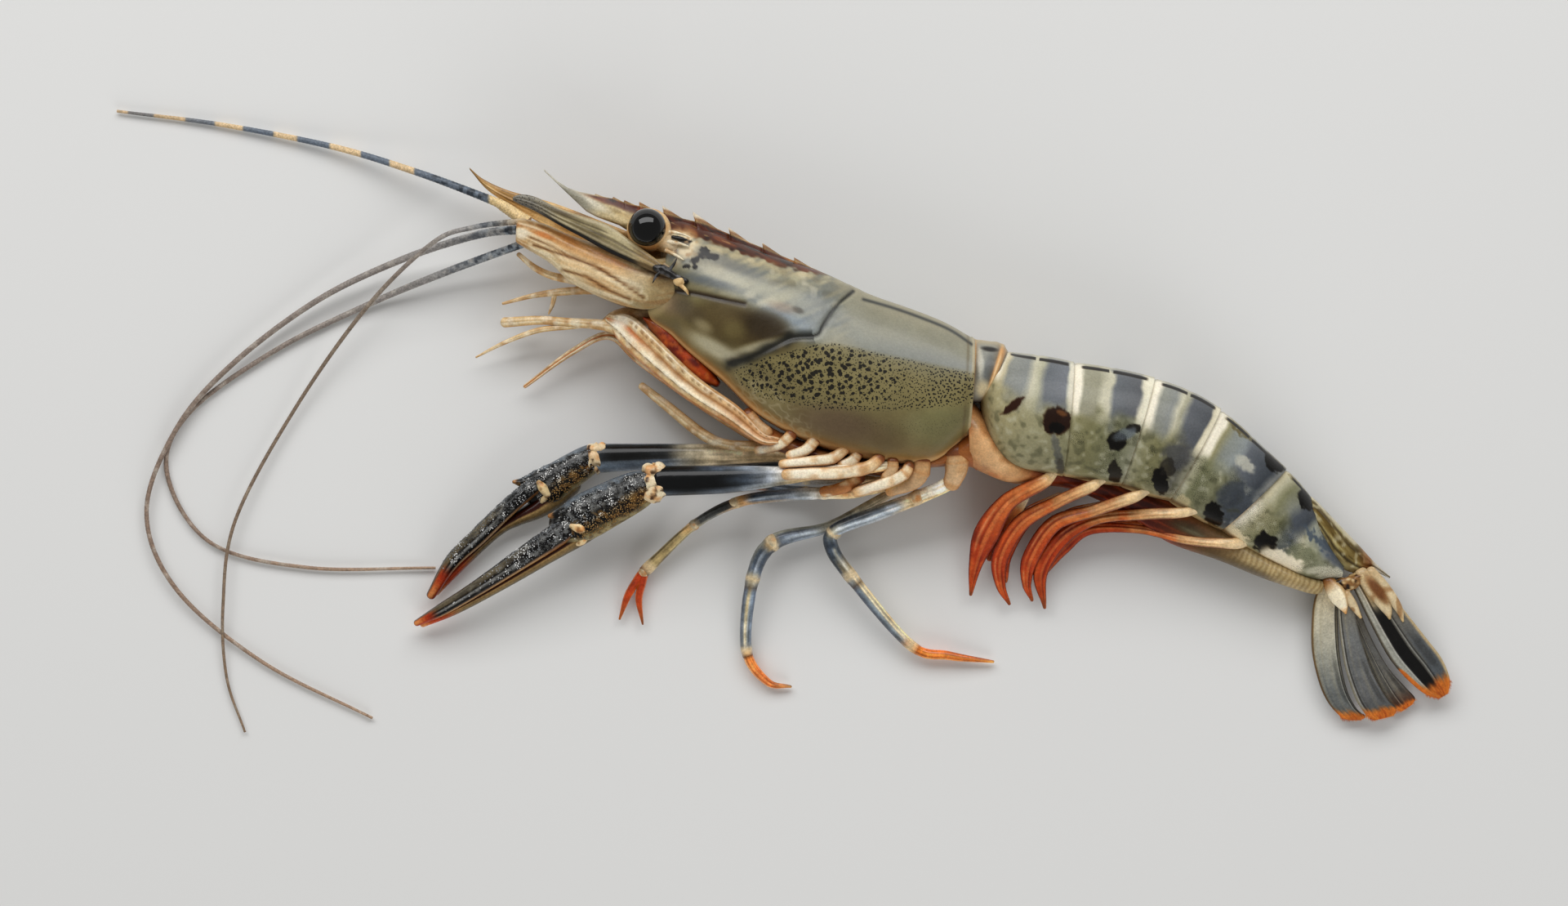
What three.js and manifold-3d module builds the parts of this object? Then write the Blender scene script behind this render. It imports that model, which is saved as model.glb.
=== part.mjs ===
// A raw king prawn lying on its right side: head towards -X, back towards +Y, left side up (+Z).
// Millimetres. The origin is on the resting face, under the middle of the carapace.
import * as THREE from "three";
import { mergeVertices } from "three/addons/utils/BufferGeometryUtils.js";
import Module from "manifold-3d";

const wasm = await Module();
wasm.setup();

// Driving dimensions
const gap = 0.3; // clearance between neighbouring pieces
const restCut = 0.3; // how far each resting flat is cut into the rounded side
const headMid = 12.6; // height of the head's middle plane
const eyeRadius = 4.0;
const eyeSpread = 6.2; // each eye from the middle plane
const scaleSpread = 6.4; // each antenna scale from the middle plane
const baseSpread = 3.0; // each antenna base from the middle plane
const weldMm = 1e-4;
const hugeMm = 600;

// ---------------------------------------------------------------- solids

function solidFrom(geometry) {
  const bare = new THREE.BufferGeometry();
  bare.setAttribute("position", geometry.getAttribute("position"));
  bare.setIndex(geometry.index);
  const merged = mergeVertices(bare, weldMm);
  const triVerts = new Uint32Array(merged.index.array);
  const vertProperties = merged.attributes.position.array;
  const solid = new wasm.Manifold(new wasm.Mesh({ numProp: 3, vertProperties, triVerts }));
  if (solid.volume() > 0) return solid;
  triVerts.reverse(); // a path that runs forwards gives faces that point inwards
  return new wasm.Manifold(new wasm.Mesh({ numProp: 3, vertProperties, triVerts }));
}

// A curve through rows of numbers: column values at any place u from 0 to 1.
function rowCurve(rows) {
  const triples = [];
  for (let c = 0; c < rows[0].length; c += 3) {
    const points = rows.map((r) => new THREE.Vector3(r[c], r[c + 1] ?? 0, r[c + 2] ?? 0));
    triples.push(new THREE.CatmullRomCurve3(points, false, "catmullrom", 0.5));
  }
  return (u) => {
    const at = Math.min(1, Math.max(0, u));
    return triples.flatMap((curve) => curve.getPoint(at).toArray());
  };
}

// A rounded limb along a path. Each row is x, y, z, half width across the board, half thickness.
function limb(rows, { steps = 3, sides = 7, grow = 0 } = {}) {
  const spans = (rows.length - 1) * steps;
  const rings = spans + 2;
  const geometry = new THREE.SphereGeometry(1, sides, rings);
  const position = geometry.getAttribute("position");
  const read = rowCurve(rows);
  const pathAt = (u) => new THREE.Vector3(...read(u).slice(0, 3));
  const up = new THREE.Vector3(0, 0, 1);
  for (let i = 0; i < position.count; i += 1) {
    const ringIndex = Math.round((Math.acos(position.getY(i)) / Math.PI) * rings);
    const angle = Math.atan2(position.getZ(i), position.getX(i));
    const u = (ringIndex - 1) / spans;
    const held = Math.min(1, Math.max(0, u));
    const step = 0.02;
    const tangent = pathAt(Math.min(1, held + step)).sub(pathAt(Math.max(0, held - step)));
    tangent.normalize();
    const across = up.clone().cross(tangent).normalize();
    const over = tangent.clone().cross(across);
    const [, , , width, thick] = read(held);
    const isPole = ringIndex === 0 || ringIndex === rings;
    const isEnd = ringIndex === 1 || ringIndex === rings - 1;
    const full = isPole ? 0 : isEnd ? 0.72 : 1;
    const place = pathAt(held);
    if (isPole) place.addScaledVector(tangent, (u < 0 ? -1 : 1) * (0.6 * width + grow));
    place.addScaledVector(across, full * (width + grow) * Math.cos(angle));
    place.addScaledVector(over, full * (thick + grow) * Math.sin(angle));
    position.setXYZ(i, place.x, place.y, place.z);
  }
  return solidFrom(geometry);
}

// A body piece from chords. Each row is back x, back y, belly x, belly y, half width, mid height.
function shell(rows, { steps = 2, sides = 20, grow = 0 } = {}) {
  const spans = (rows.length - 1) * steps;
  const geometry = new THREE.CylinderGeometry(1, 1, 1, sides, spans);
  const position = geometry.getAttribute("position");
  const read = rowCurve(rows);
  const start = read(0);
  const end = read(1);
  const axis = new THREE.Vector2(end[0] - start[0] + end[2] - start[2], end[1] - start[1] + end[3] - start[3]);
  axis.normalize();
  for (let i = 0; i < position.count; i += 1) {
    const u = 0.5 - position.getY(i);
    const [backX, backY, bellyX, bellyY, width, mid] = read(u);
    const radius = Math.hypot(position.getX(i), position.getZ(i));
    const angle = Math.atan2(position.getZ(i), position.getX(i));
    const half = Math.hypot(backX - bellyX, backY - bellyY) / 2;
    const reach = radius * Math.cos(angle) * (1 + grow / half);
    const push = u < 1e-6 ? -grow : u > 1 - 1e-6 ? grow : 0;
    const x = (backX + bellyX) / 2 + ((backX - bellyX) / 2) * reach + push * axis.x;
    const y = (backY + bellyY) / 2 + ((backY - bellyY) / 2) * reach + push * axis.y;
    const z = mid + radius * (width + grow) * Math.sin(angle);
    position.setXYZ(i, x, y, z);
  }
  return solidFrom(geometry);
}

const floorBlock = solidFrom(
  new THREE.BoxGeometry(hugeMm, hugeMm, hugeMm).translate(0, 0, -hugeMm / 2),
);

function largest(solid) {
  const parts = solid.decompose();
  parts.sort((a, b) => b.volume() - a.volume());
  return parts[0];
}

const prawn = new THREE.Group();
prawn.name = "raw_king_prawn";
const placed = [];

function boxesMeet(a, b) {
  const first = a.boundingBox();
  const second = b.boundingBox();
  return [0, 1, 2].every((k) => first.min[k] < second.max[k] && second.min[k] < first.max[k]);
}

// Adds a piece: cut clear of every earlier piece and of the board, then kept as one body.
function add(name, make, look) {
  let solid = make(0);
  for (const earlier of placed) {
    if (boxesMeet(solid, earlier)) solid = solid.subtract(earlier);
  }
  solid = largest(solid.subtract(floorBlock));
  placed.push(make(gap));
  const mesh = solid.getMesh();
  const geometry = new THREE.BufferGeometry();
  geometry.setAttribute("position", new THREE.BufferAttribute(mesh.vertProperties, 3));
  geometry.setIndex(new THREE.BufferAttribute(mesh.triVerts, 1));
  const flat = geometry.toNonIndexed();
  flat.computeVertexNormals();
  const piece = new THREE.Mesh(flat, new THREE.MeshStandardMaterial(look));
  piece.name = name;
  prawn.add(piece);
}

const addLimb = (name, rows, look, options = {}) =>
  add(name, (grow) => limb(rows, { ...options, grow }), look);
const addShell = (name, rows, look, options = {}) =>
  add(name, (grow) => shell(rows, { ...options, grow }), look);

// ---------------------------------------------------------------- looks

const looks = {
  shell: { color: 0x9a9684, roughness: 0.3, metalness: 0 },
  tail: { color: 0x8e8f86, roughness: 0.4, metalness: 0 },
  flesh: { color: 0xb98a5c, roughness: 0.45, metalness: 0 },
  gill: { color: 0xa8481c, roughness: 0.4, metalness: 0 },
  eye: { color: 0x07080a, roughness: 0.06, metalness: 0 },
  antenna: { color: 0xd2b184, roughness: 0.4, metalness: 0 },
  scale: { color: 0x9c9687, roughness: 0.35, metalness: 0 },
  feeler: { color: 0x6f6a6a, roughness: 0.45, metalness: 0 },
  mouth: { color: 0xd8bd94, roughness: 0.5, metalness: 0 },
  arm: { color: 0x3a4450, roughness: 0.2, metalness: 0 },
  claw: { color: 0x1d1f24, roughness: 0.25, metalness: 0 },
  leg: { color: 0x68737f, roughness: 0.3, metalness: 0 },
  swimmeret: { color: 0xa9552c, roughness: 0.3, metalness: 0 },
  fan: { color: 0x6a6c6c, roughness: 0.35, metalness: 0 },
};

// ---------------------------------------------------------------- head

const carapaceRows = [
  [-44.4, 37.0, -46.0, 14.2, 5.2, headMid],
  [-38.9, 34.6, -40.5, 8.2, 7.5, headMid],
  [-31.0, 31.0, -33.5, 0.6, 9.7, headMid],
  [-22.0, 27.4, -26.5, -6.2, 11.3, headMid],
  [-12.0, 23.2, -17.5, -11.4, 12.4, headMid],
  [-3.0, 19.0, -8.0, -14.8, 12.9, headMid],
  [6.0, 15.8, 2.0, -16.7, 12.9, headMid],
  [13.0, 13.0, 11.0, -16.3, 12.7, headMid],
  [19.4, 9.4, 18.3, -10.6, 12.0, headMid],
];

const rostrumRows = [
  [-71.0, 45.2, -70.7, 44.7, 0.3, headMid],
  [-66.0, 41.3, -65.4, 39.6, 0.5, headMid],
  [-60.0, 39.8, -60.4, 35.2, 0.8, headMid],
  [-53.7, 38.2, -54.5, 33.5, 1.2, headMid],
  [-47.0, 36.8, -47.4, 31.5, 1.8, headMid],
  [-40.0, 35.0, -40.0, 28.0, 2.4, headMid],
];

const toothTips = [
  [-50.4, 38.7],
  [-45.4, 38.1],
  [-38.7, 36.3],
  [-31.3, 32.7],
  [-24.3, 29.5],
  [-18.0, 26.5],
];

// Each tooth leans forwards from a root behind and below its tip.
function tooth([x, y], grow) {
  const lean = { back: 3.2, down: 2.6, root: 1.0, thick: 0.7, tip: 0.2 };
  const rows = [
    [x + lean.back, y - lean.down, headMid, lean.root, lean.thick],
    [x + lean.back * 0.45, y - lean.down * 0.5, headMid, lean.root * 0.7, lean.thick * 0.7],
    [x + lean.tip, y - lean.tip, headMid, lean.tip, lean.tip],
  ];
  return limb(rows, { steps: 1, sides: 6, grow });
}

add(
  "carapace",
  (grow) => {
    const body = shell(carapaceRows, { steps: 2, sides: 20, grow });
    const beak = shell(rostrumRows, { steps: 1, sides: 8, grow });
    return toothTips.reduce((whole, tip) => whole.add(tooth(tip, grow)), body.add(beak));
  },
  looks.shell,
);

for (const [side, sign] of [["left", 1], ["right", -1]]) {
  add(
    "eye_" + side,
    (grow) => {
      const ball = new THREE.SphereGeometry(eyeRadius + grow, 12, 8);
      return solidFrom(ball.translate(-49.2, 32.6, headMid + sign * eyeSpread));
    },
    looks.eye,
  );
}

for (const [side, sign] of [["left", 1], ["right", -1]]) {
  const z = headMid + sign * baseSpread;
  addShell(
    "antenna_base_" + side,
    [
      [-46.8, 26.5, -48.6, 15.4, 2.7, z],
      [-56.0, 28.4, -56.8, 17.2, 2.7, z],
      [-66.0, 31.2, -66.3, 22.8, 2.3, z],
      [-75.5, 34.4, -75.6, 29.0, 1.6, z],
    ],
    looks.antenna,
    { steps: 2, sides: 12 },
  );
}

// Antenna scales: flat blades at each side of the head, the right one reaching further forward.
addShell(
  "antenna_scale_left",
  [
    [-47.0, 27.6, -46.4, 23.4, 0.7, headMid + scaleSpread],
    [-57.3, 33.0, -57.3, 27.6, 0.6, headMid + scaleSpread],
    [-67.0, 36.2, -66.7, 32.2, 0.5, headMid + scaleSpread],
    [-73.0, 39.1, -72.6, 35.6, 0.4, headMid + scaleSpread],
    [-77.0, 38.9, -77.0, 38.2, 0.3, headMid + scaleSpread],
  ],
  looks.scale,
  { steps: 1, sides: 8 },
);
addShell(
  "antenna_scale_right",
  [
    [-47.0, 29.5, -46.4, 22.5, 0.7, headMid - scaleSpread],
    [-58.0, 34.0, -57.4, 27.4, 0.6, headMid - scaleSpread],
    [-69.0, 38.2, -67.6, 31.6, 0.5, headMid - scaleSpread],
    [-78.6, 40.7, -77.4, 37.2, 0.4, headMid - scaleSpread],
    [-87.1, 45.7, -87.0, 45.4, 0.3, headMid - scaleSpread],
  ],
  looks.scale,
  { steps: 1, sides: 8 },
);

// ---------------------------------------------------------------- tail

// Rows of the tail without a mid height: each ring is cut flat where it rests on the board.
const resting = (rows) => rows.map((row) => [...row, row[4] - restCut]);

addShell(
  "abdomen_1",
  [
    [19.9, 9.3, 19.2, -3.2, 10.4, 11.4],
    [25.4, 7.5, 20.0, -3.4, 10.4, 11.3],
  ],
  looks.tail,
  { steps: 1, sides: 20 },
);

const tailRows = {
  abdomen_2: [
    [25.9, 6.9, 20.4, -3.8, 11.4],
    [28.5, 6.6, 22.5, -10.9, 11.4],
    [32.5, 6.1, 27.5, -16.9, 11.3],
    [36.5, 5.4, 33.0, -18.9, 11.2],
    [39.8, 4.7, 37.3, -19.5, 11.1],
  ],
  abdomen_3: [
    [40.2, 4.6, 37.7, -19.6, 11.0],
    [45.0, 4.0, 41.0, -20.1, 10.9],
    [51.0, 2.9, 45.5, -20.9, 10.7],
    [56.8, 1.5, 49.6, -21.4, 10.4],
  ],
  abdomen_4: [
    [57.2, 1.3, 50.0, -21.5, 10.3],
    [62.0, -0.2, 53.5, -22.8, 10.1],
    [67.0, -2.5, 57.0, -23.8, 9.8],
    [70.9, -4.9, 59.9, -24.4, 9.5],
  ],
  abdomen_5: [
    [71.2, -5.2, 60.3, -24.6, 9.3],
    [75.5, -8.6, 64.0, -27.0, 9.0],
    [80.0, -12.9, 67.8, -29.1, 8.6],
    [84.9, -17.4, 71.0, -30.6, 8.2],
  ],
  abdomen_6: [
    [85.2, -17.7, 71.4, -30.9, 8.0],
    [88.6, -21.2, 77.0, -34.7, 7.6],
    [91.4, -25.2, 83.5, -38.2, 6.9],
    [93.3, -30.9, 90.0, -41.0, 6.0],
    [97.2, -37.8, 96.6, -41.2, 4.2],
  ],
};
for (const [name, rows] of Object.entries(tailRows)) {
  addShell(name, resting(rows), looks.tail, { steps: 1, sides: 20 });
}

addShell(
  "telson",
  [
    [92.1, -24.9, 93.7, -29.8, 3.4, 6.9],
    [97.5, -30.4, 96.6, -35.2, 3.1, 5.8],
    [102.5, -35.5, 100.6, -39.2, 2.4, 4.9],
    [105.0, -38.0, 104.0, -39.6, 1.1, 4.4],
    [107.8, -40.7, 107.5, -41.1, 0.3, 4.0],
  ],
  looks.tail,
  { steps: 1, sides: 12 },
);

addShell(
  "belly",
  [
    [19.3, -4.1, 18.7, -17.4, 8.0, 10.6],
    [21.8, -11.4, 21.6, -18.9, 8.2, 10.4],
    [26.6, -17.2, 26.2, -20.5, 8.0, 10.2],
    [40.0, -20.3, 40.0, -22.2, 6.6, 9.4],
    [50.0, -21.9, 52.0, -27.6, 5.2, 8.6],
    [60.2, -25.0, 60.4, -33.5, 4.8, 7.8],
    [71.3, -31.3, 71.3, -37.3, 4.6, 7.2],
    [83.3, -38.6, 82.0, -41.3, 4.6, 6.2],
    [90.5, -41.6, 90.4, -44.0, 4.6, 5.2],
  ],
  looks.flesh,
  { steps: 1, sides: 12 },
);

addShell(
  "breast",
  [
    [-27.4, -6.8, -28.4, -9.9, 5.0, 11.6],
    [-20.0, -10.9, -20.6, -14.6, 7.4, 11.6],
    [-9.0, -15.2, -9.4, -18.6, 8.4, 11.4],
    [2.0, -17.4, 1.6, -20.2, 8.6, 11.2],
    [10.5, -17.1, 10.2, -19.4, 8.6, 11.2],
    [18.0, -12.0, 17.6, -17.6, 8.0, 11.2],
  ],
  looks.flesh,
  { steps: 1, sides: 12 },
);

addLimb(
  "gills",
  [
    [-47.4, 12.0, 12.6, 1.5, 3.0],
    [-42.6, 6.6, 12.6, 2.2, 3.6],
    [-36.6, 1.0, 12.6, 1.6, 3.0],
  ],
  looks.gill,
  { steps: 2, sides: 8 },
);

// ---------------------------------------------------------------- claws

addLimb(
  "claw_left_arm",
  [
    [-2.5, -17.6, 17.0, 1.1, 1.1],
    [-11.0, -18.3, 16.4, 1.4, 1.4],
    [-20.0, -19.2, 15.2, 1.9, 1.8],
    [-32.0, -20.0, 13.4, 2.9, 2.6],
    [-46.0, -20.4, 11.2, 3.2, 2.8],
  ],
  looks.arm,
  { steps: 2, sides: 8 },
);

// The palm ends in the fixed finger, as one piece.
add(
  "claw_left_palm",
  (grow) => {
    const palm = [
      [-48.4, -20.9, 10.6, 3.1, 2.8],
      [-52.0, -22.6, 10.2, 4.2, 3.4],
      [-58.0, -25.6, 9.4, 4.7, 3.8],
      [-64.5, -29.2, 8.2, 4.7, 3.5],
    ];
    const finger = [
      [-62.0, -30.4, 8.0, 2.6, 2.6],
      [-69.5, -35.9, 7.0, 1.5, 1.7],
      [-80.6, -42.8, 5.0, 1.1, 1.5],
      [-90.0, -47.9, 3.2, 1.0, 1.3],
      [-97.4, -50.6, 2.0, 0.7, 0.9],
    ];
    const corner = [
      [-61.0, -25.0, 9.2, 2.0, 2.2],
      [-69.4, -27.2, 8.6, 0.7, 1.0],
    ];
    return limb(palm, { steps: 2, sides: 10, grow })
      .add(limb(finger, { steps: 1, sides: 8, grow }))
      .add(limb(corner, { steps: 1, sides: 6, grow }));
  },
  looks.claw,
);
addLimb(
  "claw_left_finger",
  [
    [-66.6, -30.4, 9.2, 2.5, 2.5],
    [-74.8, -36.0, 8.0, 2.2, 2.2],
    [-85.9, -43.3, 6.0, 1.6, 1.8],
    [-93.0, -47.6, 4.4, 1.3, 1.4],
    [-98.2, -50.3, 3.2, 0.6, 0.7],
  ],
  looks.claw,
  { steps: 2, sides: 8 },
);

addLimb(
  "claw_right_arm",
  [
    [-22.5, -14.6, 5.4, 1.6, 1.6],
    [-33.0, -14.8, 4.6, 2.1, 2.0],
    [-46.0, -15.1, 4.0, 2.6, 2.4],
    [-59.0, -15.6, 3.8, 3.1, 2.7],
  ],
  looks.arm,
  { steps: 2, sides: 8 },
);
add(
  "claw_right_palm",
  (grow) => {
    const palm = [
      [-61.6, -15.8, 3.8, 3.2, 2.6],
      [-66.4, -18.6, 4.0, 3.7, 3.1],
      [-72.4, -22.6, 3.8, 4.1, 3.1],
    ];
    const finger = [
      [-68.5, -22.6, 3.4, 3.0, 2.4],
      [-72.6, -26.0, 3.2, 2.4, 2.0],
      [-77.2, -28.5, 2.8, 1.5, 1.7],
      [-81.2, -31.1, 2.4, 1.0, 1.5],
      [-88.0, -37.4, 1.9, 0.9, 1.3],
      [-94.6, -44.2, 1.5, 0.7, 0.9],
    ];
    const corner = [
      [-70.0, -18.4, 4.2, 2.0, 2.2],
      [-77.0, -20.4, 4.2, 0.5, 0.8],
    ];
    const hand = limb(palm, { steps: 2, sides: 10, grow });
    return hand
      .add(limb(finger, { steps: 1, sides: 8, grow }))
      .add(limb(corner, { steps: 1, sides: 6, grow }));
  },
  looks.claw,
);
addLimb(
  "claw_right_finger",
  [
    [-73.6, -21.8, 5.4, 1.9, 2.0],
    [-80.0, -27.0, 4.8, 1.9, 2.0],
    [-85.2, -32.0, 4.0, 1.9, 1.9],
    [-91.0, -37.6, 3.2, 1.5, 1.7],
    [-95.4, -44.4, 2.6, 0.9, 1.0],
  ],
  looks.claw,
  { steps: 2, sides: 8 },
);

// ---------------------------------------------------------------- legs

// The two first legs are thin and end in small pincers; the left one lies open on the board.
add(
  "pincer_leg_left",
  (grow) => {
    const leg = [
      [5.4, -18.8, 14.0, 1.2, 1.2],
      [-4.6, -22.4, 13.2, 1.4, 1.3],
      [-12.0, -22.9, 11.8, 1.3, 1.3],
      [-21.0, -23.4, 9.6, 1.3, 1.3],
      [-30.4, -24.9, 7.0, 1.1, 1.2],
      [-39.6, -29.7, 4.8, 1.0, 1.1],
      [-50.2, -39.6, 2.2, 1.2, 1.3],
    ];
    const prongs = [
      [
        [-50.8, -40.2, 2.1, 0.9, 1.0],
        [-53.6, -44.6, 1.6, 0.75, 0.9],
        [-55.4, -49.6, 1.0, 0.3, 0.4],
      ],
      [
        [-50.2, -40.4, 2.1, 0.9, 1.0],
        [-51.4, -45.4, 1.6, 0.75, 0.9],
        [-50.6, -50.6, 1.0, 0.3, 0.4],
      ],
    ];
    return prongs.reduce(
      (whole, prong) => whole.add(limb(prong, { steps: 2, sides: 6, grow })),
      limb(leg, { steps: 2, sides: 7, grow }),
    );
  },
  looks.leg,
);
addLimb(
  "pincer_leg_right",
  [
    [-23.0, -13.2, 9.6, 1.0, 1.0],
    [-33.0, -12.6, 9.0, 1.0, 1.0],
    [-38.0, -10.4, 8.2, 1.15, 1.1],
    [-44.8, -5.0, 6.4, 1.1, 1.0],
    [-50.6, -0.4, 4.6, 0.8, 0.8],
  ],
  looks.mouth,
  { steps: 2, sides: 7 },
);

const legRows = {
  walking_leg_left_5: [
    [14.6, -20.6, 13.4, 1.3, 1.3],
    [7.4, -23.9, 11.4, 1.5, 1.5],
    [-1.0, -27.2, 9.4, 1.6, 1.6],
    [-9.6, -30.7, 7.6, 1.4, 1.4],
    [-10.6, -34.2, 6.2, 1.5, 1.5],
    [-6.6, -40.4, 5.0, 1.4, 1.4],
    [6.2, -55.2, 2.2, 1.1, 1.1],
    [14.5, -57.6, 1.5, 0.9, 1.0],
    [23.8, -58.8, 0.8, 0.3, 0.4],
  ],
  walking_leg_left_4: [
    [4.0, -21.6, 7.0, 1.0, 1.1],
    [-4.0, -26.4, 5.0, 1.1, 1.1],
    [-12.0, -30.4, 4.2, 1.1, 1.2],
    [-22.8, -33.4, 5.4, 1.7, 1.6],
    [-27.2, -41.0, 4.4, 1.4, 1.4],
    [-28.6, -56.0, 1.9, 1.1, 1.2],
    [-24.2, -63.2, 1.1, 0.8, 0.9],
    [-19.2, -64.1, 0.7, 0.3, 0.4],
  ],
  walking_leg_left_3: [
    [1.4, -21.4, 9.8, 1.0, 1.0],
    [-6.0, -22.8, 8.6, 1.0, 1.0],
    [-16.0, -22.6, 5.6, 1.0, 1.0],
    [-28.0, -21.4, 3.4, 0.7, 0.8],
  ],
};
for (const [name, rows] of Object.entries(legRows)) {
  addLimb(name, rows, looks.leg, { steps: 2, sides: 7 });
}

// The right walking legs are folded forwards under the arms, along the board.
for (const [index, y] of [[3, -14.6], [4, -17.4], [5, -20.2]]) {
  addLimb(
    "walking_leg_right_" + index,
    [
      [2.0, y * 1.0, 1.4, 1.0, 1.0],
      [-16.0, y, 1.0, 1.0, 0.9],
      [-30.0, y - 0.6, 0.9, 0.8, 0.8],
      [-42.0, y - 1.2, 0.8, 0.5, 0.6],
    ],
    looks.leg,
    { steps: 1, sides: 6 },
  );
}

// ---------------------------------------------------------------- mouth

add(
  "mouth_leg_left",
  (grow) => {
    const limbRows = [
      [-25.5, -11.4, 15.0, 1.0, 1.6],
      [-31.5, -6.4, 14.8, 2.2, 2.0],
      [-40.5, -0.4, 14.0, 2.6, 2.2],
      [-50.4, 8.4, 12.6, 3.2, 2.2],
      [-56.2, 12.4, 11.4, 2.4, 1.8],
    ];
    const tips = [
      [
        [-56.5, 12.2, 11.2, 1.2, 1.2],
        [-65.5, 13.1, 9.0, 0.9, 0.9],
        [-72.0, 13.6, 7.4, 0.9, 0.9],
        [-79.8, 13.1, 5.6, 1.0, 1.0],
      ],
      [
        [-64.0, 12.3, 9.2, 0.5, 0.6],
        [-72.5, 11.3, 7.0, 0.5, 0.6],
        [-79.6, 8.9, 5.0, 0.45, 0.5],
        [-85.8, 5.8, 3.4, 0.25, 0.3],
      ],
    ];
    return tips.reduce(
      (whole, rows) => whole.add(limb(rows, { steps: 1, sides: 6, grow })),
      limb(limbRows, { steps: 2, sides: 8, grow }),
    );
  },
  looks.mouth,
);
addLimb(
  "mouth_leg_right",
  [
    [-25.0, -12.0, 8.6, 1.4, 1.6],
    [-37.0, -4.2, 8.4, 1.6, 1.8],
    [-50.0, 5.4, 7.8, 1.9, 1.8],
    [-57.4, 10.3, 6.8, 0.9, 1.0],
    [-65.5, 6.8, 5.2, 0.6, 0.7],
    [-75.5, -0.4, 3.0, 0.35, 0.4],
  ],
  looks.mouth,
  { steps: 2, sides: 7 },
);
addLimb(
  "mouth_palp_upper",
  [
    [-65.6, 22.0, 8.4, 0.9, 0.8],
    [-69.6, 22.9, 8.0, 0.7, 0.7],
    [-73.2, 24.6, 7.6, 0.6, 0.6],
    [-76.6, 27.4, 7.2, 0.45, 0.5],
  ],
  looks.mouth,
  { steps: 2, sides: 6 },
);
add(
  "mouth_palp_lower",
  (grow) => {
    const stem = [
      [-63.6, 19.6, 8.0, 0.8, 0.8],
      [-68.6, 19.5, 7.2, 0.8, 0.7],
      [-73.7, 18.7, 6.4, 0.5, 0.5],
      [-80.0, 17.1, 5.4, 0.3, 0.35],
    ];
    const branch = [
      [-69.2, 19.0, 7.0, 0.6, 0.6],
      [-69.6, 16.8, 6.6, 0.4, 0.4],
      [-70.4, 14.9, 6.2, 0.2, 0.2],
    ];
    return limb(stem, { steps: 2, sides: 6, grow }).add(limb(branch, { steps: 1, sides: 6, grow }));
  },
  looks.mouth,
);

// ---------------------------------------------------------------- swimmerets

// A stalk that widens into a pointed leaf. The right one of each pair lies lower and further in.
const swimmeretRows = [
  [
    [33.2, -20.9, 15.2, 1.5, 0.9],
    [26.4, -24.8, 11.6, 1.9, 0.7],
    [22.2, -31.4, 7.4, 2.8, 0.6],
    [20.0, -38.0, 4.2, 1.5, 0.5],
    [19.1, -44.5, 2.0, 0.4, 0.4],
  ],
  [
    [43.4, -21.7, 15.0, 1.3, 0.9],
    [36.6, -24.9, 12.2, 1.4, 0.8],
    [29.4, -29.2, 9.0, 1.8, 0.7],
    [25.2, -36.4, 5.2, 1.8, 0.6],
    [25.3, -42.4, 3.0, 1.0, 0.5],
    [27.2, -46.5, 1.6, 0.4, 0.4],
  ],
  [
    [53.0, -24.1, 14.4, 1.3, 0.9],
    [44.6, -26.6, 11.4, 1.3, 0.8],
    [36.4, -29.4, 8.6, 1.7, 0.7],
    [31.6, -36.6, 5.2, 1.8, 0.6],
    [30.8, -42.0, 3.2, 1.0, 0.5],
    [32.0, -45.7, 1.8, 0.4, 0.4],
  ],
  [
    [63.6, -27.2, 13.2, 1.1, 0.9],
    [55.0, -27.4, 10.8, 1.2, 0.8],
    [45.4, -28.4, 8.6, 1.2, 0.7],
    [38.2, -32.4, 6.2, 1.7, 0.6],
    [33.8, -39.6, 3.8, 1.6, 0.5],
    [34.7, -47.3, 1.6, 0.4, 0.4],
  ],
  [
    [73.0, -33.4, 11.4, 1.1, 0.9],
    [64.0, -32.8, 9.0, 0.9, 0.7],
    [54.4, -30.6, 7.2, 0.9, 0.6],
    [44.0, -30.6, 5.4, 1.2, 0.6],
    [38.6, -34.6, 3.4, 1.4, 0.5],
    [34.8, -40.0, 1.8, 0.4, 0.4],
  ],
];
const rightShift = [
  [3.0, 1.2],
  [1.0, 0.8],
  [2.4, 0.8],
  [1.0, 1.0],
  [1.0, 1.0],
];
const rightDrop = { share: 0.5, rise: 0.8, thick: 0.5, tip: 0.5 };
swimmeretRows.forEach((rows, index) => {
  addLimb("swimmeret_left_" + (index + 1), rows, looks.swimmeret, { steps: 1, sides: 7 });
});
swimmeretRows.forEach((rows, index) => {
  const [shiftX, shiftY] = rightShift[index];
  const inner = rows.slice(1, -1);
  const moved = inner.map(([x, y, z, width], k) => [
    x + shiftX,
    y + shiftY,
    z * rightDrop.share + rightDrop.rise,
    k === inner.length - 1 ? width * rightDrop.tip : width,
    rightDrop.thick,
  ]);
  addLimb("swimmeret_right_" + (index + 1), moved, looks.swimmeret, { steps: 1, sides: 6 });
});

// ---------------------------------------------------------------- tail fan

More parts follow.
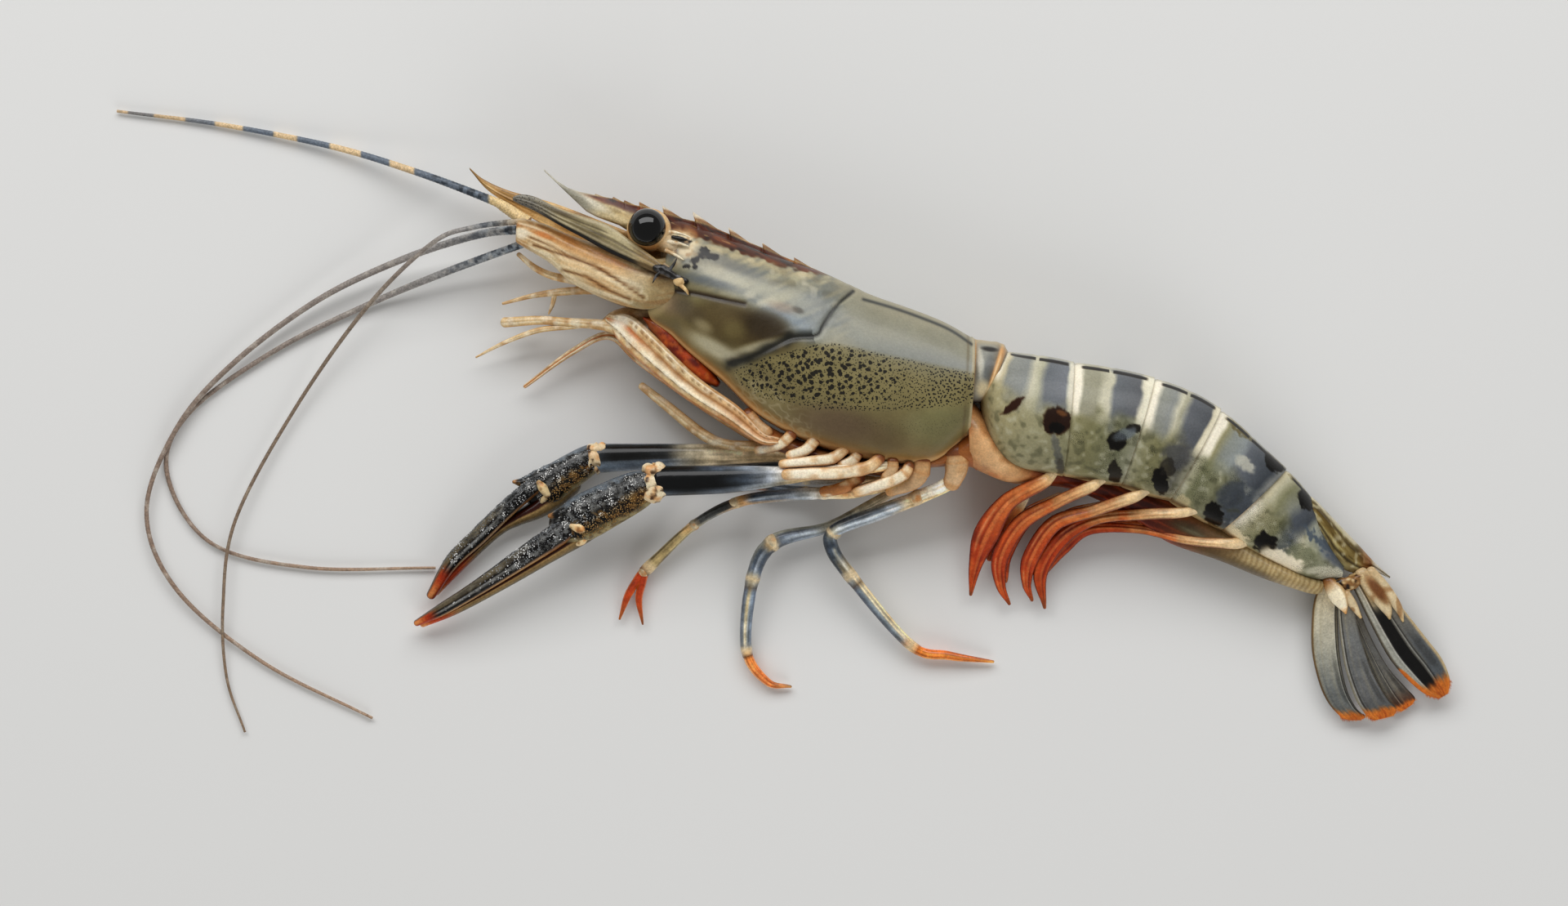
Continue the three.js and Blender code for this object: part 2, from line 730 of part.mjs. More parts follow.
const fanRows = {
  tail_blade_1: [
    [92.2, -43.2, 97.4, -43.6, 0.8, 4.4],
    [91.3, -50.0, 96.6, -50.0, 0.8, 4.0],
    [91.3, -56.5, 97.2, -57.6, 0.7, 3.4],
    [93.2, -64.0, 99.0, -64.8, 0.6, 2.6],
    [97.8, -70.8, 103.4, -70.6, 0.4, 1.8],
  ],
  tail_blade_2: [
    [97.0, -46.8, 99.4, -46.8, 0.8, 6.0],
    [97.2, -52.0, 101.0, -52.4, 0.8, 5.6],
    [98.0, -59.0, 103.6, -60.0, 0.7, 4.8],
    [100.4, -66.4, 107.0, -66.4, 0.6, 3.8],
    [104.0, -71.0, 109.6, -69.2, 0.4, 3.0],
  ],
  tail_blade_3: [
    [99.0, -47.4, 101.4, -48.4, 0.7, 2.8],
    [102.0, -55.0, 105.0, -56.6, 0.6, 2.4],
    [106.4, -65.0, 111.0, -64.0, 0.5, 1.8],
    [110.0, -69.2, 114.0, -66.2, 0.3, 1.4],
  ],
  tail_blade_4: [
    [99.2, -41.6, 103.6, -39.6, 0.9, 5.4],
    [103.0, -49.6, 109.4, -46.6, 0.9, 5.2],
    [107.2, -57.4, 115.2, -53.6, 0.8, 4.6],
    [112.4, -63.2, 119.4, -59.6, 0.6, 3.8],
    [117.4, -66.4, 120.4, -64.4, 0.4, 3.0],
  ],
};
for (const [name, rows] of Object.entries(fanRows)) {
  addShell(name, rows, looks.fan, { steps: 2, sides: 8 });
}

// ---------------------------------------------------------------- feelers

const feelerRows = {
  feeler_1: [
    [-76.4, 35.2, 9.0, 1.2, 1.0],
    [-83.0, 39.1, 7.6, 0.9, 0.8],
    [-98.0, 44.8, 4.4, 0.7, 0.7],
    [-116.1, 50.4, 1.6, 0.6, 0.6],
    [-140.1, 55.2, 0.6, 0.5, 0.5],
    [-162.3, 58.1, 0.4, 0.35, 0.35],
  ],
  feeler_2: [
    [-76.3, 32.4, 12.0, 0.9, 0.9],
    [-85.4, 31.6, 9.0, 0.8, 0.8],
    [-101.7, 26.3, 5.0, 0.7, 0.7],
    [-119.8, 17.7, 2.4, 0.6, 0.6],
    [-137.9, 4.1, 1.8, 0.6, 0.6],
    [-149.6, -9.5, 1.6, 0.5, 0.5],
    [-155.9, -27.0, 1.4, 0.5, 0.5],
    [-149.6, -43.4, 1.2, 0.5, 0.5],
    [-131.5, -58.8, 0.6, 0.4, 0.4],
    [-108.0, -70.8, 0.4, 0.35, 0.35],
  ],
  feeler_3: [
    [-76.3, 29.3, 9.4, 0.8, 0.8],
    [-92.6, 23.6, 4.6, 0.7, 0.7],
    [-108.9, 17.0, 1.0, 0.6, 0.6],
    [-128.8, 7.2, 0.6, 0.5, 0.5],
    [-146.9, -5.9, 0.5, 0.5, 0.5],
    [-151.7, -18.5, 0.5, 0.5, 0.5],
    [-142.6, -33.4, 0.5, 0.4, 0.4],
    [-122.0, -38.8, 0.5, 0.4, 0.4],
    [-94.6, -38.9, 0.5, 0.35, 0.35],
  ],
  feeler_4: [
    [-76.3, 34.0, 14.4, 0.6, 0.6],
    [-86.0, 32.9, 12.0, 0.5, 0.5],
    [-94.8, 29.6, 9.8, 0.5, 0.5],
    [-108.9, 16.3, 5.0, 0.45, 0.45],
    [-124.3, -5.0, 1.6, 0.4, 0.4],
    [-136.9, -28.5, 1.8, 0.4, 0.4],
    [-139.6, -46.6, 1.8, 0.35, 0.35],
    [-139.0, -62.0, 0.6, 0.3, 0.3],
    [-135.1, -73.8, 0.3, 0.3, 0.3],
  ],
};
for (const [name, rows] of Object.entries(feelerRows)) {
  addLimb(name, rows, looks.feeler, { steps: 3, sides: 5 });
}

export default prawn;
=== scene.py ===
import math

import bmesh
import bpy
import numpy as np
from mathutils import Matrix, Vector


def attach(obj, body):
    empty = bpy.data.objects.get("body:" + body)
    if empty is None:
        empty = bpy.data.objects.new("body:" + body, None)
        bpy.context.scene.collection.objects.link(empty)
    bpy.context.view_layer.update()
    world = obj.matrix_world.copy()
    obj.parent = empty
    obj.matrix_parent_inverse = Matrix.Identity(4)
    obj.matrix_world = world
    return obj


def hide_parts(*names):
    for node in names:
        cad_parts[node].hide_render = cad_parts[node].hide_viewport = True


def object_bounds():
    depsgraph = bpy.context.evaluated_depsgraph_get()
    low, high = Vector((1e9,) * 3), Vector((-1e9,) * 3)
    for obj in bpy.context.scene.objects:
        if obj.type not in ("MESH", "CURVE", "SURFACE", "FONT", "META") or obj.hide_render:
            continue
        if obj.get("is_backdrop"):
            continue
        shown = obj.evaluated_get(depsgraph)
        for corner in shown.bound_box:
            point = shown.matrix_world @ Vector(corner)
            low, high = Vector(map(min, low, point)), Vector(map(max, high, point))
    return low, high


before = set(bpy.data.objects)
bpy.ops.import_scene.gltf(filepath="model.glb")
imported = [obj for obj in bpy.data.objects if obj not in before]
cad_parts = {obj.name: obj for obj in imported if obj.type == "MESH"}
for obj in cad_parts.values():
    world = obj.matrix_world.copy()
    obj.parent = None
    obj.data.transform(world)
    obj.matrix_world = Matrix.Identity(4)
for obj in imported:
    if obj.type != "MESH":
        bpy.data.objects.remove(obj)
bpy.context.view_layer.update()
mm = 0.001
print("frame loaded")

# the head's middle plane, halfway through the carapace
headMid = 12.6


# shapes: every grid is rings of points, in millimetres of the row frame


def spline(rows, perSpan):
    rows = np.array(rows, float)
    padded = np.vstack([2 * rows[:1] - rows[1:2], rows, 2 * rows[-1:] - rows[-2:-1]])
    count = (len(rows) - 1) * perSpan + 1
    at = np.linspace(0, len(rows) - 1, count)
    i = np.minimum(at.astype(int), len(rows) - 2)
    f = (at - i)[:, None]
    a, b, c, d = padded[i], padded[i + 1], padded[i + 2], padded[i + 3]
    return 0.5 * (2 * b + (c - a) * f + (2 * a - 5 * b + 4 * c - d) * f ** 2 + (3 * b - a - 3 * c + d)
        * f ** 3)


def unit(v):
    return v / np.maximum(np.linalg.norm(v, axis=-1, keepdims=True), 1e-9)


def roundedEnds(data, tangent, steps=4, reach=0.9):
    # extra rings that close both ends like a fingertip
    lead, tail, shareA, shareB = [], [], [], []
    for k in range(steps):
        turn = (k + 0.15) / steps * math.pi / 2
        first, last = data[0].copy(), data[-1].copy()
        first[:3] -= tangent[0] * math.cos(turn) * reach * data[0, 3]
        last[:3] += tangent[-1] * math.cos(turn) * reach * data[-1, 3]
        lead.append(first)
        tail.append(last)
        shareA.append(math.sin(turn))
        shareB.append(math.sin(turn))
    full = np.vstack([lead, data, tail[::-1]])
    share = np.concatenate([shareA, np.ones(len(data)), shareB[::-1]])
    return full, share, steps


def tube(rows, perSpan=8, sides=20, swell=None, squareness=1):
    # rows: x, y, z, half width across the board, half thickness
    data = spline(rows, perSpan)
    tangent = unit(np.gradient(data[:, :3], axis=0))
    u = np.linspace(0, 1, len(data))
    full, share, extra = roundedEnds(data, tangent)
    u = np.concatenate([np.zeros(extra), u, np.ones(extra)])
    tangent = np.vstack([np.repeat(tangent[:1], extra, 0), tangent, np.repeat(tangent[-1:], extra, 0)])
    across = unit(np.cross([0, 0, 1], tangent))
    over = np.cross(tangent, across)
    angle = np.arange(sides) * 2 * math.pi / sides
    c, s = np.cos(angle), np.sin(angle)
    if squareness != 1:
        c, s = np.sign(c) * np.abs(c) ** squareness, np.sign(s) * np.abs(s) ** squareness
    uu, aa = np.meshgrid(u, angle, indexing="ij")
    grow = np.ones_like(uu) if swell is None else swell(uu, aa)
    wide = (full[:, 3] * share)[:, None] * grow
    thick = (full[:, 4] * share)[:, None] * grow
    p = full[:, None, :3] + across[:, None] * (wide * c)[..., None] + over[:, None] * (thick * s)[...,
        None]
    step = np.linalg.norm(np.diff(full[:, :3], axis=0), axis=1)
    along = np.concatenate([[0], np.cumsum(step)])
    return {"p": p, "u": uu, "a": aa, "along": np.repeat(along[:, None], sides, 1)}


def lumpy(amount, seed=0, count=5):
    # uneven knobs all over a tube
    def swell(u, a):
        p = np.stack([u * count, np.cos(a) * 1.2, np.sin(a) * 1.2], -1)
        return 1 + amount * (cloud(p, 1, seed).reshape(u.shape) - 0.5)
    return swell


def shell(rows, perSpan=12, sides=72, flatness=1, lip=None, relief=None):
    # rows: back x, back y, belly x, belly y, half width, mid height
    data = spline(rows, perSpan)
    u = np.linspace(0, 1, len(data))
    angle = np.arange(sides) * 2 * math.pi / sides
    uu, aa = np.meshgrid(u, angle, indexing="ij")
    mid = (data[:, 0:2] + data[:, 2:4]) / 2
    half = (data[:, 0:2] - data[:, 2:4]) / 2
    c, s = np.cos(aa), np.sin(aa)
    s = np.sign(s) * np.abs(s) ** flatness
    p = np.empty(uu.shape + (3,))
    p[..., 0] = mid[:, 0:1] + half[:, 0:1] * c
    p[..., 1] = mid[:, 1:2] + half[:, 1:2] * c
    p[..., 2] = data[:, 5:6] + data[:, 4:5] * s
    span = np.linalg.norm(half, axis=1)[:, None]
    out = np.stack([half[:, 0:1] / span * c / span, half[:, 1:2] / span * c / span, s / data[:, 4:5]], -1)
    out = unit(out)
    grid = {"p": p, "u": uu, "a": aa, "out": out, "along": uu}
    if relief is not None:
        p += out * relief(grid)[..., None]
    if lip is not None:
        grid = addLip(grid, lip)
    return grid


def addLip(grid, lip):
    # the rear edge flares a little, then turns in, so that each plate ends in a real edge
    p, out = grid["p"], grid["out"]
    last, before = p[-1], p[-2]
    run = unit(last - before)
    rings = []
    for forward, rise in lip:
        rings.append(last + run * forward + out[-1] * rise)
    grid["p"] = np.concatenate([p, np.array(rings)])
    for key in ("u", "a", "along"):
        grid[key] = np.concatenate([grid[key], np.repeat(grid[key][-1:], len(rings), 0)])
    grid["out"] = np.concatenate([out, np.repeat(out[-1:], len(rings), 0)])
    return grid


def ball(centre, radius, rings=24, sides=32, stretch=(1, 1, 1)):
    lat = np.linspace(0.02, math.pi - 0.02, rings)
    angle = np.arange(sides) * 2 * math.pi / sides
    uu, aa = np.meshgrid(lat, angle, indexing="ij")
    p = np.stack([np.sin(uu) * np.cos(aa), np.sin(uu) * np.sin(aa), np.cos(uu)], -1)
    p = np.array(centre) + p * radius * np.array(stretch)
    return {"p": p, "u": uu / math.pi, "a": aa, "along": uu}


def cloud(p, size, seed=0):
    # smooth value noise, 0 to 1
    q = np.asarray(p, float).reshape(-1, 3) / size + seed * 17.31
    i = np.floor(q).astype(np.int64)
    f = q - i
    f = f * f * (3 - 2 * f)

    stir = (374761393, 668265263, 1440662683, 1274126177)

    def corner(dx, dy, dz):
        h = (i[:, 0] + dx) * stir[0] + (i[:, 1] + dy) * stir[1] + (i[:, 2] + dz) * stir[2]
        h = (h ^ (h >> 13)) * stir[3]
        return ((h ^ (h >> 16)) & 0xFFFF) / 65535

    total = 0
    for dx in (0, 1):
        for dy in (0, 1):
            for dz in (0, 1):
                w = (f[:, 0] if dx else 1 - f[:, 0]) * (f[:, 1] if dy else 1 - f[:, 1])
                total = total + corner(dx, dy, dz) * w * (f[:, 2] if dz else 1 - f[:, 2])
    return total


def streaks(a, b, c, seed):
    # the same noise, stretched along a shape's own directions
    return cloud(np.stack([a, b, c], -1), 1, seed)


def fade(low, high, x):
    t = np.clip((x - low) / (high - low), 0, 1)
    return t * t * (3 - 2 * t)


def bell(x, middle, width):
    # 1 at the middle, dying away on both sides
    return np.exp(-((x - middle) / width) ** 2)


def ramp(x, stops):
    # stops: place, colour; smooth between them
    places = [s[0] for s in stops]
    colours = np.array([s[1] for s in stops], float)
    return np.stack([np.interp(x, places, colours[:, k]) for k in range(3)], -1)


def blob(x, y, centre, radii, tilt=0, soft=0.5):
    c, s = math.cos(math.radians(tilt)), math.sin(math.radians(tilt))
    dx, dy = x - centre[0], y - centre[1]
    r = np.sqrt(((dx * c + dy * s) / radii[0]) ** 2 + ((-dx * s + dy * c) / radii[1]) ** 2)
    return 1 - fade(1 - soft, 1 + soft, r)


def fromPath(x, y, points):
    # distance to a line of points, and how far along it
    points = np.array(points, float)
    best = np.full(np.shape(x), 1e9)
    where = np.zeros(np.shape(x))
    count = len(points) - 1
    for k in range(count):
        a, b = points[k], points[k + 1]
        d = b - a
        t = np.clip(((x - a[0]) * d[0] + (y - a[1]) * d[1]) / (d @ d), 0, 1)
        dist = np.hypot(x - a[0] - t * d[0], y - a[1] - t * d[1])
        closer = dist < best
        best = np.where(closer, dist, best)
        where = np.where(closer, (k + t) / count, where)
    return best, where


def put(colour, tint, mask):
    return colour + (np.array(tint, float) - colour) * np.asarray(mask)[:, None]


def coats(colour, layers):
    # tints laid one over the other, each where its mask lets it show
    for tint, mask in layers:
        colour = put(colour, tint, mask)
    return colour


def plain(count, tone):
    return np.tile(np.array(tone, float), (count, 1))


def linear(rgb):
    # wet shell: middle and dark tones sit a little deeper and warmer
    v = np.clip(np.asarray(rgb, float) / 255, 0, 1)
    v = v ** (1 + np.array([0.25, 0.28, 0.38]) * (1 - v))
    return np.where(v <= 0.04045, v / 12.92, ((v + 0.055) / 1.055) ** 2.4)


# meshes


def flat(grids):
    # every point of every grid, as one table of plain arrays
    joined = {"p": np.concatenate([g["p"].reshape(-1, 3) for g in grids])}
    for key in ("u", "a", "along"):
        joined[key] = np.concatenate([g[key].reshape(-1) for g in grids])
    joined["part"] = np.concatenate([np.full(g["u"].size, k) for k, g in enumerate(grids)])
    joined["x"], joined["y"], joined["z"] = joined["p"].T
    joined["c"] = np.cos(joined["a"])
    joined["t"] = (1 - joined["c"]) / 2
    return joined


def writeData(mesh, name, kind, key, values):
    # one value per point, kept in the mesh under a name
    if name in mesh.attributes:
        mesh.attributes.remove(mesh.attributes[name])
    attribute = mesh.attributes.new(name, kind, "POINT")
    attribute.data.foreach_set(key, np.asarray(values, np.float32).ravel())


def pointsOf(obj):
    # the points of a finished mesh, in millimetres
    co = np.zeros(len(obj.data.vertices) * 3, np.float32)
    obj.data.vertices.foreach_get("co", co)
    return co.reshape(-1, 3) / mm


def writePaint(obj, colour):
    writeData(obj.data, "paint", "FLOAT_COLOR", "color",
        np.concatenate([linear(colour), np.zeros((len(colour), 1))], -1))


def link(name, data):
    obj = bpy.data.objects.new(name, data)
    bpy.context.scene.collection.objects.link(obj)
    return obj


def makeMesh(name, grids, paint, material):
    # paint gives a colour for every point and, where a piece is speckled, how thick the specks lie
    table = flat(grids)
    painted = paint(table)
    colour, specks = painted if isinstance(painted, tuple) else (painted, np.zeros(len(table["x"])))
    verts = [tuple(v) for v in table["p"] * mm]
    extra = np.concatenate([linear(colour), np.clip(specks, 0, 1)[:, None]], -1)
    faces, base, caps = [], 0, []
    for g in grids:
        n, m = g["u"].shape
        index = np.arange(n * m).reshape(n, m) + base
        nxt = np.roll(index, -1, axis=1)
        quads = np.stack([index[:-1], nxt[:-1], nxt[1:], index[1:]], -1).reshape(-1, 4)
        faces += quads.tolist()
        for row in (0, n - 1):
            caps.append((index[row], row == 0))
        base += n * m
    for ring, first in caps:
        centre = len(verts)
        verts.append(tuple(np.mean([verts[k] for k in ring], axis=0)))
        extra = np.vstack([extra, extra[ring].mean(0)])
        around = list(ring) + [ring[0]]
        for a, b in zip(around[:-1], around[1:]):
            faces.append((centre, int(b), int(a)) if first else (centre, int(a), int(b)))
    mesh = bpy.data.meshes.new(name)
    mesh.from_pydata(verts, [], faces)
    bm = bmesh.new()
    bm.from_mesh(mesh)
    bmesh.ops.recalc_face_normals(bm, faces=bm.faces)
    bm.to_mesh(mesh)
    bm.free()
    mesh.polygons.foreach_set("use_smooth", [True] * len(mesh.polygons))
    writeData(mesh, "paint", "FLOAT_COLOR", "color", extra)
    mesh.materials.append(materials[material])
    return link(name, mesh)


pieces = []


def finishPiece(obj, slotName, *nodes):
    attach(obj, "root")
    if nodes:
        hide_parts(*nodes)
    pieces.append(obj)


def addPiece(name, grids, paint, material, slotName, *nodes):
    finishPiece(makeMesh(name, grids, paint, material), slotName, *nodes)


# materials


def addNode(tree, kind, links=None, **settings):
    made = tree.nodes.new(kind)
    for key, value in settings.items():
        setattr(made, key, value)
    for key, value in (links or {}).items():
        socket = made.inputs[key]
        if isinstance(value, bpy.types.NodeSocket):
            tree.links.new(value, socket)
        else:
            socket.default_value = value
    return made


def shellMaterial(look):
    material = bpy.data.materials.new(look["name"])
    material.use_nodes = True
    tree = material.node_tree
    tree.nodes.clear()

    def node(kind, links=None, **settings):
        return addNode(tree, "ShaderNode" + kind, links, **settings)

    def noise(scale, detail, roughness=0.5):
        return node("TexNoise", {"Vector": place, "Scale": scale, "Detail": detail,
            "Roughness": roughness})

    def spread(value, low, high, start, end):
        # what lies between low and high comes to lie between start and end
        return node("MapRange", {0: value, 1: low, 2: high, 3: start, 4: end}).outputs[0]

    def join(first, second, how):
        return node("Math", {0: first, 1: second}, operation=how).outputs[0]

    def scaled(vector, amount):
        return node("VectorMath", {0: vector, 3: amount}, operation="SCALE").outputs[0]

    def spots(scale):
        # how far each place is from the middle of its nearest spot
        return node("TexVoronoi", {"Vector": moved, "Scale": scale},
            voronoi_dimensions="2D").outputs["Distance"]

    place = node("TexCoord").outputs["Object"]
    paint = node("Attribute", attribute_name="paint")
    dense = paint.outputs["Alpha"]

    # cloudy variation of the colour, then fine lighter and darker crumbs
    mottle = noise(look["mottleScale"], 4, 0.6).outputs[0]
    crumbs = noise(look["grainScale"], 2, 0.7).outputs[0]
    colour = scaled(paint.outputs["Color"], spread(mottle, 0.3, 0.7, 1 - look["mottle"],
        1 + look["mottle"]))
    colour = scaled(colour, spread(crumbs, 0.36, 0.64, 1 - look["grain"], 1 + look["grain"]))

    # dark specks in a coarse and a fine layer, as dense as the paint's fourth value says
    shift = scaled(noise(look["speckScale"] * 0.9, 1).outputs["Color"],
        look["speckWarp"] / look["speckScale"])
    moved = node("VectorMath", {0: place, 1: shift}, operation="ADD").outputs[0]
    coarse = join(spread(dense, 0.5, 1, -0.05, 0.43), spots(look["speckScale"]), "SUBTRACT")
    small = join(spread(dense, 0, 0.5, -0.03, 0.34), spread(dense, 0.52, 0.7, 1, 0.62), "MULTIPLY")
    fine = join(small, spots(look["speckScale"] * 2.1), "SUBTRACT")
    specks = spread(join(coarse, fine, "MAXIMUM"), -0.02, 0.06, 0, look["speckStrength"])
    colour = node("Mix", {0: specks, 6: colour, 7: look["speckTone"]}, data_type="RGBA").outputs[2]

    # pores, and a gloss that changes with the mottling
    pores = noise(look["poreScale"], 3).outputs[0]
    bump = node("Bump", {"Strength": look["bump"], "Distance": look["bumpDepth"], "Height": pores})
    surface = node("BsdfPrincipled", {
        "Base Color": colour, "Normal": bump.outputs[0],
        "Roughness": spread(mottle, 0.3, 0.7, look["rough"] * 0.75, look["rough"] * 1.3),
        "IOR": look["ior"], "Specular IOR Level": look["shine"],
        "Coat Weight": look["coat"], "Coat Roughness": look["coatRough"],
        "Subsurface Weight": look["glow"], "Subsurface Scale": look["glowDepth"],
        "Subsurface Radius": (1, 0.6, 0.35)})
    node("OutputMaterial", {"Surface": surface.outputs[0]})
    return material


plainLook = {
    "mottle": 0.1, "mottleScale": 180, "grain": 0.08, "grainScale": 2200,
    "speckScale": 900, "speckWarp": 0.6, "speckStrength": 0.92, "speckTone": (0.008, 0.007, 0.006, 1),
    "poreScale": 1400, "bump": 0.25, "bumpDepth": 0.0003, "rough": 0.38, "ior": 1.34, "shine": 0.5,
    "coat": 0.12, "coatRough": 0.12, "glow": 0.04, "glowDepth": 0.001,
}

looks = {
    "carapace": dict(name="wetCarapace", speckScale=760, speckWarp=0.7, speckStrength=0.97, mottle=0.1,
        bump=0.1, rough=0.36, grain=0.06),
    "tail": dict(name="wetTailShell", speckScale=1900, speckStrength=0.6, mottle=0.09, rough=0.36,
        grain=0.08, bump=0.14, shine=0.35, coat=0.08),
    "crest": dict(name="beakCrest", rough=0.3, grain=0.15),
    "flesh": dict(name="moistFlesh", rough=0.4, mottle=0.2, mottleScale=300, glow=0.1, coat=0.25,
        grain=0.12),
    "cream": dict(name="creamShell", rough=0.36, glow=0.08, mottle=0.14, mottleScale=420, coat=0.25,
        grain=0.12),
    "arm": dict(name="blueBlackShell", rough=0.2, shine=0.3, coat=0.3, coatRough=0.06, bump=0.1, glow=0,
        mottle=0.25, grain=0.16),
    "claw": dict(name="clawShell", rough=0.26, shine=0.3, coat=0.3, coatRough=0.1, glow=0, mottle=0.25,
        grain=0.2),
    "leg": dict(name="blueLegShell", rough=0.28, coat=0.35, coatRough=0.08, mottle=0.2, mottleScale=520,
        grain=0.16),
    "feeler": dict(name="feelerShell", rough=0.4, mottle=0.2, mottleScale=900, bump=0.4, grain=0.25,
        grainScale=2600),
    "swimmeret": dict(name="wetBlade", rough=0.26, coat=0.25, coatRough=0.08, glow=0.1, mottle=0.25,
        mottleScale=480, grain=0.12),
    "fan": dict(name="fanBlade", rough=0.36, coat=0.25, mottle=0.16, mottleScale=420, speckScale=1600,
        bump=0.3, grain=0.14),
    "eye": dict(name="blackEye", rough=0.05, shine=0.4, coat=0.5, coatRough=0.03, bump=0, glow=0,
        mottle=0, grain=0),
    "bump": dict(name="clawBump", rough=0.25, coat=0.4, glow=0, mottle=0.4, mottleScale=600),
    "hair": dict(name="orangeBristle", rough=0.4, mottle=0.3, mottleScale=900, glow=0.1),
}
materials = {key: shellMaterial({**plainLook, **look}) for key, look in looks.items()}


# carapace

carapace = {
    "rows": [
        [-44.4, 35, -47.2, 13.2, 5.2, headMid], [-38.9, 33.2, -41.3, 7.2, 7.5, headMid],
        [-31, 30.2, -33.5, 0.6, 9.7, headMid], [-22, 26.7, -26.5, -6.2, 11.3, headMid],
        [-12, 23.2, -17.5, -11.4, 12.4, headMid], [-3, 19, -8, -14.8, 12.9, headMid],
        [6, 15.8, 2, -16.7, 12.9, headMid], [13, 13, 11, -16.3, 12.7, headMid],
        [19.4, 9.4, 18.3, -10.6, 12, headMid],
    ],
    "groove": [(-6.2, 19.3), (-9.6, 16.2), (-12.4, 12.2), (-13.9, 10), (-18.9, 9.5), (-22.9, 7.7),
        (-27.2, 5.6), (-32.1, 4.1)],
    "seam": [(-44.5, 19.6), (-39.3, 18.8), (-34, 17.6), (-28.9, 16.5)],
    "backLine": [(-4, 17.6), (2, 15.9), (8, 13.8), (14, 11.3), (18.6, 8.2)],
    "grooveDepth": 0.45,
    "rimHeight": 0.22,
}


# the beak: a thin blade along the back, with forward-leaning teeth
beak = {
    "upper": [
        (-71, 45.1), (-68.4, 42.7), (-66, 41.2), (-63.6, 40.4), (-60, 39.6), (-56.4, 38.9), (-53.7, 38),
        (-50.2, 37.2), (-46.4, 36.1), (-42, 34.8), (-38.2, 33.9), (-34.6, 32.6), (-31.4, 31.2), (-28, 29.8),
        (-24.8, 28.5), (-21, 26.9), (-18, 25.7), (-14, 24.1), (-10, 22.3),
    ],
    "lower": [
        (-71, 44.7), (-66, 39.9), (-62.1, 36.2), (-59.8, 35), (-55.2, 33.3), (-50, 30), (-44, 27),
        (-38, 25.6), (-30, 24), (-20, 21), (-10, 18),
    ],
    "teeth": [
        (-60, 0.3, 1.6), (-56.2, 0.4, 1.8), (-53.8, 0.5, 2), (-50.5, 0.9, 2.8), (-45.3, 1.5, 3.4),
        (-38.7, 1.9, 4.2), (-31.4, 1.5, 3.6), (-24.5, 1.15, 3.4), (-18, 0.8, 3.2),
    ],
    "halfThick": [(-71, 0.14), (-66, 0.45), (-60, 1), (-55, 2), (-50, 3.4), (-46, 4.6), (-42, 5.2),
        (-36, 5.4), (-30, 5.4), (-20, 5), (-10, 4.6)],
}


def smoothLine(points):
    # the same points joined by a soft curve
    rows = [[a, b, 0, 0] for a, b in points]
    return spline(rows, 6)[:, :2]


for mark in ("groove", "seam", "backLine"):
    carapace[mark] = smoothLine(carapace[mark])


def carapaceRelief(g):
    x, y = g["p"][..., 0], g["p"][..., 1]
    groove, where = fromPath(x, y, carapace["groove"])
    depth = np.where(where < 0.45, 0.6, 1) * carapace["grooveDepth"]
    rise = -depth * bell(groove, 0, 0.6) + 0.1 * bell(groove, 1.3, 0.7)
    seam, _ = fromPath(x, y, carapace["seam"])
    rise = rise - 0.25 * bell(seam, 0, 0.45)
    t = (1 - np.cos(g["a"])) / 2
    rise = rise + carapace["rimHeight"] * bell(g["u"], 0.992, 0.006)
    # a low bulge over the liver, and a soft hollow under it
    rise = rise + 0.5 * blob(x, y, (-29, 12), (11, 6), -20, 0.6) - 0.35 * blob(x, y, (-30, 3.5),
        (9, 1.8), -35, 0.7)
    return rise + 0.18 * bell(t, 0.985, 0.012)


def frontEdge(grid):
    # the front rim leans back above and reaches forward at the lower corner
    levels = [(12, -47.4), (14, -48.8), (15.2, -49.2), (16.2, -48.4), (17.6, -47), (19.2, -45.4),
        (20.6, -44), (24, -45.6), (30, -44.6), (33, -45.4), (35, -47), (35.8, -48.6)]
    ys = [v[0] for v in levels]
    xs = [v[1] for v in levels]
    p = grid["p"]
    first = p[0, :, 0].copy()
    shift = np.interp(p[0, :, 1], ys, xs) - first
    hold = 1 - fade(0, 0.075, grid["u"])
    p[..., 0] += shift[None, :] * hold
    return grid


